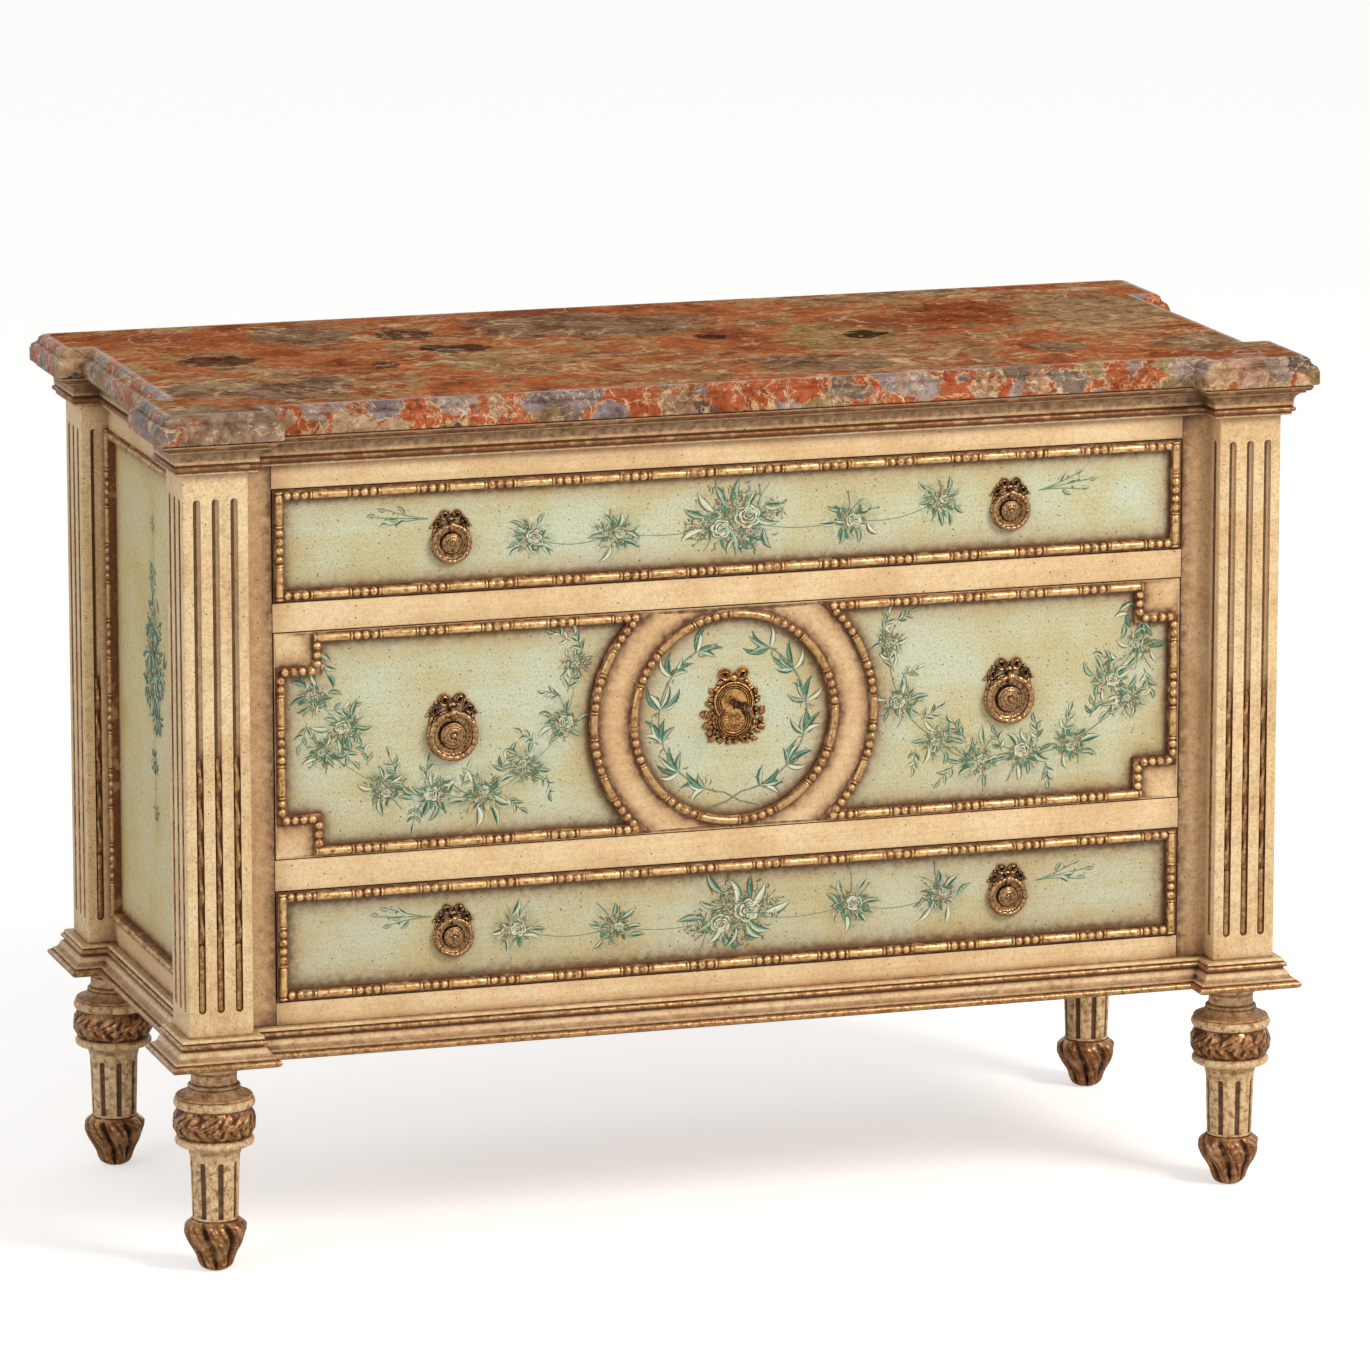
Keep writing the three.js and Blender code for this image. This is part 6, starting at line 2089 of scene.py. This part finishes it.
class Painter:
    """Lays strokes on one surface, each a little above the one before."""

    def __init__(self, place_point):
        self.shape = Shape()
        self.place_point = place_point
        self.level = 0.04

    def lay(self, path, half_widths, height, tones, edges=OUTLINED):
        stroke(self.shape, self.place_point, path, half_widths, height, self.level, tones, edges)
        self.level = self.level + 0.003 if self.level < 0.6 else 0.25

    def leaf(self, place, turn, length, half, tones=None):
        tones = tones or LEAF_TONES[brush.choice(6, p=LEAF_ODDS)]
        path = curved_path(place, turn, length, brush.choice((-1, 1)) * brush.uniform(0.5, 1.4), 9)
        edges = SHADED if brush.random() < 0.5 else SHADED[::-1]
        self.lay(path, pointed(9, half, brush.uniform(0.38, 0.52)), 0.22, tones, edges)

    def stem(self, path, half=0.4):
        self.lay(path, half, 0.1, (0.2, 0.5), edges=INKED)

    def bud(self, place, turn, size, tones=(0.05, 0.4)):
        path = curved_path(place, turn, size * 2, 0.0, 6)
        self.lay(path, round_ended(6, size * 0.8), 0.25, tones)

    def fan(self, place, turn, length, count, spread=0.9):
        """Leaves that share a root and part from each other."""
        for index in range(count):
            aside = spread * (index / max(count - 1, 1) - 0.5) + brush.uniform(-0.15, 0.15)
            size = length * brush.uniform(0.75, 1.15)
            self.leaf(place, turn + aside, size, size * brush.uniform(0.105, 0.145))

    def sprig(self, place, turn, length, pairs=3):
        """A stem with leaves in pairs and one at its tip."""
        path = curved_path(place, turn, length, brush.uniform(-0.5, 0.5), 12)
        self.stem(path)
        for index in range(pairs):
            step = 2 + index * 9 // pairs
            for way in (-1, 1):
                self.leaf(path[step], turn + way * brush.uniform(0.5, 0.95), length * 0.48, length * 0.085)
        self.leaf(path[-2], turn, length * 0.5, length * 0.09)

    def tendrils(self, place, turn, reach, count, spread):
        """Thin stems with small buds at their ends."""
        for index in range(count):
            heading = turn + spread * (index / max(count - 1, 1) - 0.5) + brush.uniform(-0.1, 0.1)
            path = curved_path(place, heading, reach * brush.uniform(0.6, 1.1), brush.uniform(-1.2, 1.2), 8)
            self.stem(path, 0.3)
            self.bud(path[-1], heading, brush.uniform(0.8, 1.4), DAB_TONES[brush.integers(5)])

    def rose(self, place, radius):
        """Petals laid as arcs, ring inside ring off the middle, pale outside and dark in the folds."""
        lean = brush.uniform(0, 6.3)
        for share, count, half in ((0.8, 6, 0.25), (0.55, 5, 0.21), (0.34, 4, 0.16), (0.16, 2, 0.11)):
            middle = np.array(place, float) - spoke(lean, radius * (0.8 - share) * 0.4)
            start = brush.uniform(0, 6.3)
            for index in range(count):
                heading = start + (index + brush.uniform(-0.2, 0.2)) / count * 2 * math.pi
                half_turn = math.pi / count * brush.uniform(0.95, 1.35)
                turns = np.linspace(heading - half_turn, heading + half_turn, 9)
                bulge = radius * share * (1 + 0.18 * np.cos((turns - heading) / half_turn * math.pi / 2))
                arc = np.column_stack((np.cos(turns) * bulge, np.sin(turns) * bulge * 0.84))
                tones = PETAL_TONES[brush.integers(5)]
                self.lay(middle + arc, pointed(9, radius * half, 0.5), 0.3, tones)

    def shadows(self, place, reach, count, length):
        """Dark teal strokes that set a flower off from what is behind it."""
        for _ in range(count):
            turn = brush.uniform(0, 6.3)
            root = np.array(place) + spoke(turn, reach * brush.uniform(0.7, 1.1), 0.85)
            heading = turn + brush.uniform(-1.3, 1.3)
            path = curved_path(root, heading, length * brush.uniform(0.7, 1.2), 0.6, 6)
            tones = (brush.uniform(0.0, 0.3), 0.2)
            self.lay(path, pointed(6, length * 0.15), 0.15, tones, OUTLINED * 0.6)

    def hatching(self, place, reach, count):
        """Fine curved lines round a bunch, as a pointed brush leaves them."""
        for _ in range(count):
            turn = brush.uniform(0, 6.3)
            root = np.array(place) + spoke(turn, reach * brush.uniform(0.3, 1.0), 0.8)
            path = curved_path(root, turn + brush.uniform(-1.0, 1.0), brush.uniform(5, 11), 1.6, 6)
            self.lay(path, pointed(6, 0.46), 0.1, (1.0, 1.0), INKED)

    def stipple(self, place, reach, count, squash=0.75):
        """Tiny touches of cream, pink and olive among short dark lines, like the heads of small flowers."""
        for index in range(count):
            heading = brush.uniform(0, 6.3)
            spot = np.array(place) + spoke(heading, reach * brush.uniform(0.02, 1.0) ** 0.6, squash)
            turn = brush.uniform(0, 6.3)
            if index % 3:
                path = curved_path(spot, turn, brush.uniform(1.8, 3.4), 0.8, 4)
                self.lay(path, round_ended(4, brush.uniform(0.7, 1.15)), 0.2, DAB_TONES[brush.integers(4)])
            else:
                path = curved_path(spot, turn, brush.uniform(3.0, 6.5), 1.8, 5)
                self.lay(path, pointed(5, 0.42), 0.12, (1.0, 1.0), INKED)

    def scattered_leaves(self, place, size, count, lengths, squash=0.8):
        """Leaves that grow out of a bunch, each its own way."""
        for turn in (np.arange(count) + brush.uniform(-0.35, 0.35, count)) / count * 2 * math.pi:
            root = np.array(place) + spoke(turn, size * brush.uniform(0.35, 0.75), squash)
            length = brush.uniform(*lengths)
            self.leaf(root, turn + brush.uniform(-0.8, 0.8), length, length * brush.uniform(0.12, 0.17))

    def posy(self, place, size, lean, kind):
        """A small bunch: a few long leaves round a stippled head, with a rose or without."""
        place = np.array(place, float)
        self.tendrils(place, lean + 1.3, size * 1.15, 3, 1.5)
        self.shadows(place, size * 0.45, 10, size * 0.36)
        self.scattered_leaves(place, size, 6, (size * 0.5, size * 0.82))
        self.hatching(place, size * 0.75, 16)
        self.stipple(place, size * 0.62, 54)
        self.rose(place + spoke(lean, size * 0.16), size * (0.3 if kind == "rose" else 0.18))
        self.stipple(place, size * 0.4, 12)
        self.scattered_leaves(place, size * 0.6, 4, (size * 0.2, size * 0.4))
        self.shadows(place, size * 0.3, 6, size * 0.22)

    def bouquet(self, place, size):
        """The large bunch in the middle of a drawer: stippled heads, two roses and some long leaves."""
        place = np.array(place, float)
        self.tendrils(place + (size * 0.5, size * 0.1), 0.7, size * 0.7, 5, 1.6)
        self.tendrils(place + (-size * 0.6, -size * 0.2), 3.6, size * 0.6, 4, 1.4)
        self.shadows(place + (0.0, -size * 0.1), size * 0.6, 24, 12.0)
        self.scattered_leaves(place, size * 1.15, 12, (19.0, 31.0), 0.62)
        self.hatching(place, size * 1.1, 50)
        for x, z, reach, count in BOUQUET_HEADS:
            self.stipple(place + (size * x, size * z), size * reach, count)
        self.rose(place + (size * 0.3, size * 0.04), size * 0.3)
        self.rose(place + (-size * 0.34, -size * 0.22), size * 0.24)
        self.stipple(place, size * 0.5, 70, 0.6)
        self.scattered_leaves(place, size * 0.7, 8, (8.0, 15.0), 0.6)
        self.shadows(place + (0.0, -size * 0.05), size * 0.3, 16, 9.0)

    def end_sprig(self, place, turn):
        """Three thin stems with round buds, where a garland begins."""
        for spread, reach in ((-0.2, 48), (0.0, 58), (0.2, 44)):
            path = curved_path(place, turn + spread, reach, spread * 1.2, 10)
            self.stem(path, 0.6)
            self.leaf(path[-1], turn + spread, 11, 2.4, (0.3, 0.6))
            self.leaf(path[5], turn + spread * 3.5, 14, 2.2, (0.1, 0.75))
            self.bud(path[-3], turn + spread + 0.8, 1.8)


# %% [markdown]
# ### Garlands of the long drawers
# A sprig of buds begins each garland at both ends. Between them stand four posies and the large
# bouquet in the middle, joined by one thin stem that sags a little.

# %% Long garlands
def long_garland(drawer, ends):
    painter = Painter(on_field)
    bunches = PAINTED[drawer]
    for side, x, level, heading in ends:
        painter.end_sprig((side * x, level), heading)
    places = sorted((x, z) for x, z, _ in bunches)
    for (x0, z0), (x1, z1) in zip(places, places[1:]):
        shares = np.linspace(0, 1, 14)
        sag = 9 * np.sin(math.pi * shares)
        painter.stem(np.column_stack((x0 + (x1 - x0) * shares, z0 + (z1 - z0) * shares - sag)), 0.4)
    for index, (x, z, size) in enumerate(bunches[1:]):
        painter.posy((x, z), size, brush.uniform(-0.5, 0.5), ("rose", "aster")[index % 2])
    painter.bouquet(bunches[0][:2], bunches[0][2])
    new_piece(f"garland_{drawer}", painter.shape, [flower_tempera], f"drawer_{drawer}")


long_garland("top", [(-1, 336.0, 795.0, math.pi - 0.07), (1, 345.0, 788.0, 0.16)])
long_garland("bottom", [(-1, 336.0, 366.0, math.pi - 0.07), (1, 345.0, 358.0, 0.16)])

# %% [markdown]
# ### Festoons of the middle drawer
# On each side field a festoon hangs from the outer upper corner, sags under the pull and climbs along
# the arc. Round the keyhole a wreath of two laurel branches is crossed at the bottom.

# %% Festoons and wreath
FESTOON_SPRIGS = [
    (455, 664, -1.9, 34), (474, 644, -1.7, 28), (446, 596, 2.9, 26), (470, 585, -1.3, 26),
    (440, 560, -2.2, 28), (405, 535, 1.3, 26), (372, 520, 1.2, 26), (345, 512, 1.7, 24),
    (352, 488, -1.4, 22), (302, 505, 1.9, 22), (262, 520, 2.2, 26), (252, 492, -2.4, 24),
    (215, 545, 0.6, 24), (206, 512, -1.8, 22), (182, 600, 1.9, 28), (168, 640, 1.2, 26),
    (192, 596, 0.3, 20), (180, 655, 0.5, 22),
]
WREATH_RADIUS = 83.0
WREATH_LEAVES = [(-1.0, 21, (0.7, 0.84)), (-0.5, 27, (0.06, 0.3)), (0.0, 25, (0.12, 0.8)),
                 (0.45, 27, (0.1, 0.34)), (0.95, 20, (0.66, 0.2))]


def middle_paintings():
    painter = Painter(on_field)
    bunches = PAINTED["middle"]
    for side in (-1, 1):
        chain = [np.array((x, z), float) for x, z, _ in bunches if x * side > 0]
        for start, end in zip(chain, chain[1:]):
            shares = np.linspace(0, 1, 10)[:, None]
            sag = np.array((-side * 4.0, -4.0)) * np.sin(math.pi * shares)
            painter.stem(start + (end - start) * shares + sag, 0.4)
        for x, z, turn, length in FESTOON_SPRIGS:
            heading = turn if side > 0 else math.pi - turn
            painter.sprig((side * x + brush.uniform(-3, 3), z), heading, length, 2)
    for index, (x, z, size) in enumerate(bunches):
        painter.posy((x, z), size, brush.uniform(0, 6.3), ("aster", "rose", "aster")[index % 3])
    low, high = corners("bead_medallion")
    centre = np.array((0.0, (low[2] + high[2]) / 2))
    for side in (-1, 1):
        turns = np.linspace(-math.pi / 2 + 0.12 * side, -math.pi / 2 + side * 2.75, 42)
        path = on_circle(turns, WREATH_RADIUS, centre)
        cut_end = centre + (-side * 29.0, -99.0)
        painter.stem(np.vstack((cut_end, (cut_end + path[0]) / 2 + (side * 2.0, -2.0), path)), 0.6)
        for index in range(6):
            step = 4 + index * 7
            heading = turns[step] + side * math.pi / 2
            for lean, length, tones in WREATH_LEAVES:
                size = length * brush.uniform(0.95, 1.25)
                aside = side * (lean + brush.uniform(-0.15, 0.15))
                painter.leaf(path[step], heading + aside, size, 3.0, tones)
            painter.hatching(path[step], 9.0, 4)
    new_piece("paintings_middle", painter.shape, [flower_tempera], "drawer_middle")


middle_paintings()

# %% [markdown]
# ### Drops on the sides
# Each side panel has one hanging bunch, a little behind the middle of the panel. Three thin strands hang
# from one point and weave past each other. Fans of leaves hang from them in small bunches, and the
# bunches are fullest half-way down.

# %% Side drops
DROP_TOP = 776.0
DROP_STRANDS = [(2.0, 407.0), (-5.0, 440.0), (7.0, 470.0)]


def side_drop(name, side):
    def on_panel(points, height):
        out = side * (SIDE_FIELD + np.broadcast_to(height, len(points)))
        return np.column_stack((out, side * points[:, 0], points[:, 1]))

    painter = Painter(on_panel)
    for reach, bottom in DROP_STRANDS:
        heights = np.linspace(DROP_TOP, bottom, 30)
        across = side * DROP_BACK + reach * np.sin((DROP_TOP - heights) / 46.0)
        painter.stem(np.column_stack((across, heights)), 0.35)
    for x, z, size in side_bunches(side):
        count = round(size / 3)
        painter.tendrils((x, z), -math.pi / 2, size * 1.1, 3, 1.4)
        painter.shadows((x, z), size * 0.75, count, size * 0.5)
        for turn in (-0.75, 0.0, 0.75):
            painter.fan(np.array((x, z)) + spoke(turn - math.pi / 2, size * 0.25), turn - math.pi / 2,
                        size * 0.75, 2, 0.5)
        painter.hatching((x, z), size * 0.95, 2 * count)
        painter.stipple((x, z), size * 0.6, 2 * count)
    new_piece(f"drop_{name}", painter.shape, [flower_tempera], "carcass")


side_drop("left", -1)
side_drop("right", 1)

# %% [markdown]
# ## Boards that keep their CAD shape
# The drawer boxes, the dust boards, the back, and the lock are right as they are. They only need their
# real finish in place of the plain CAD colour.

# %% Finishes of the CAD nodes
CAD_FINISHES = {"bare_wood": softwood, "iron": iron, "bronze": bronze, "cream_paint": cream_across,
                "green_paint": green_across, "gilding": gold_leaf, "marble": marble}
slots = {part["node"]: part["material_slot"] for part in frame["record"]["subparts"]}
for node, piece in frame["nodes"].items():
    for material_slot in piece.material_slots:
        material_slot.material = CAD_FINISHES[slots[node]]
print("CAD nodes finished:", len(frame["nodes"]))

# %% [markdown]
# ## Light and floor
# A large soft lamp at the upper right of the camera models the carving, and a weaker one at the left
# keeps the shaded side readable. The world is white where the camera or a reflection sees it, and
# dimmer as a light. The floor is white paper that keeps the shadow: its own light is only for the
# camera.

# %% Lamps
CHEST_MIDDLE = Vector((0.0, 0.0, 0.5))


def soft_lamp(name, place, size, watts, colour):
    """A square lamp that looks at the middle of the chest."""
    lamp = bpy.data.lights.new(name, "AREA")
    lamp.shape = "SQUARE"
    lamp.size = size
    lamp.energy = watts
    lamp.color = linear(colour)[:3]
    holder = bpy.data.objects.new(name, lamp)
    holder.location = place
    holder.rotation_euler = (CHEST_MIDDLE - holder.location).to_track_quat("-Z", "Y").to_euler()
    scene.collection.objects.link(holder)
    print(name, watts, "watts")


soft_lamp("key_lamp", (2.4, -3.4, 3.4), 1.6, 150.0, "#FFF6EA")
soft_lamp("fill_lamp", (-4.2, -2.2, 1.8), 2.4, 40.0, "#FFFFFF")

# %% Room and floor
world = bpy.data.worlds.new("white_room")
scene.world = world
world.use_nodes = True
sky = world.node_tree
sky.nodes.clear()
rays = add_node(sky, "ShaderNodeLightPath")
seen = rays.outputs["Is Camera Ray"]
for kind_of_ray in ("Is Glossy Ray", "Is Transmission Ray"):
    seen = add_node(sky, "ShaderNodeMath", {0: seen, 1: rays.outputs[kind_of_ray]}, operation="MAXIMUM")
strength = add_node(sky, "ShaderNodeMapRange", {"Value": seen, "To Min": 0.5})
air = add_node(sky, "ShaderNodeBackground", {"Color": "#FFFFFF", "Strength": strength})
add_node(sky, "ShaderNodeOutputWorld", {"Surface": air})

paper, tree, shader = new_material("white_paper_floor")
rays = add_node(tree, "ShaderNodeLightPath")
glow = add_node(tree, "ShaderNodeMapRange", {"Value": rays.outputs["Is Camera Ray"], "To Max": 0.5})
set_sockets(tree, shader, {
    "Base Color": "#F2F1EF", "Roughness": 0.9, "Specular IOR Level": 0.1,
    "Emission Color": "#FFFFFF", "Emission Strength": glow,
})
FLOOR_HALF = 40.0
floor_corners = [(x * FLOOR_HALF, y * FLOOR_HALF, 0) for x, y in ((-1, -1), (1, -1), (1, 1), (-1, 1))]
floor_mesh = bpy.data.meshes.new("paper_floor")
floor_mesh.from_pydata(floor_corners, [], [(0, 1, 2, 3)])
floor_mesh.materials.append(paper)
floor = bpy.data.objects.new("paper_floor", floor_mesh)
scene.collection.objects.link(floor)
floor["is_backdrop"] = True

# %% [markdown]
# ## Output and size
# Colours are shown as they are written, and the size of the dressed chest is printed beside that of the CAD.

# %% View and size
scene.view_settings.view_transform = "Standard"
visual_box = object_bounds()
sizes = {"cad": [list(corner) for corner in cad_box], "visual": [list(corner) for corner in visual_box]}
print("CAD box", sizes["cad"], "visual box", sizes["visual"])
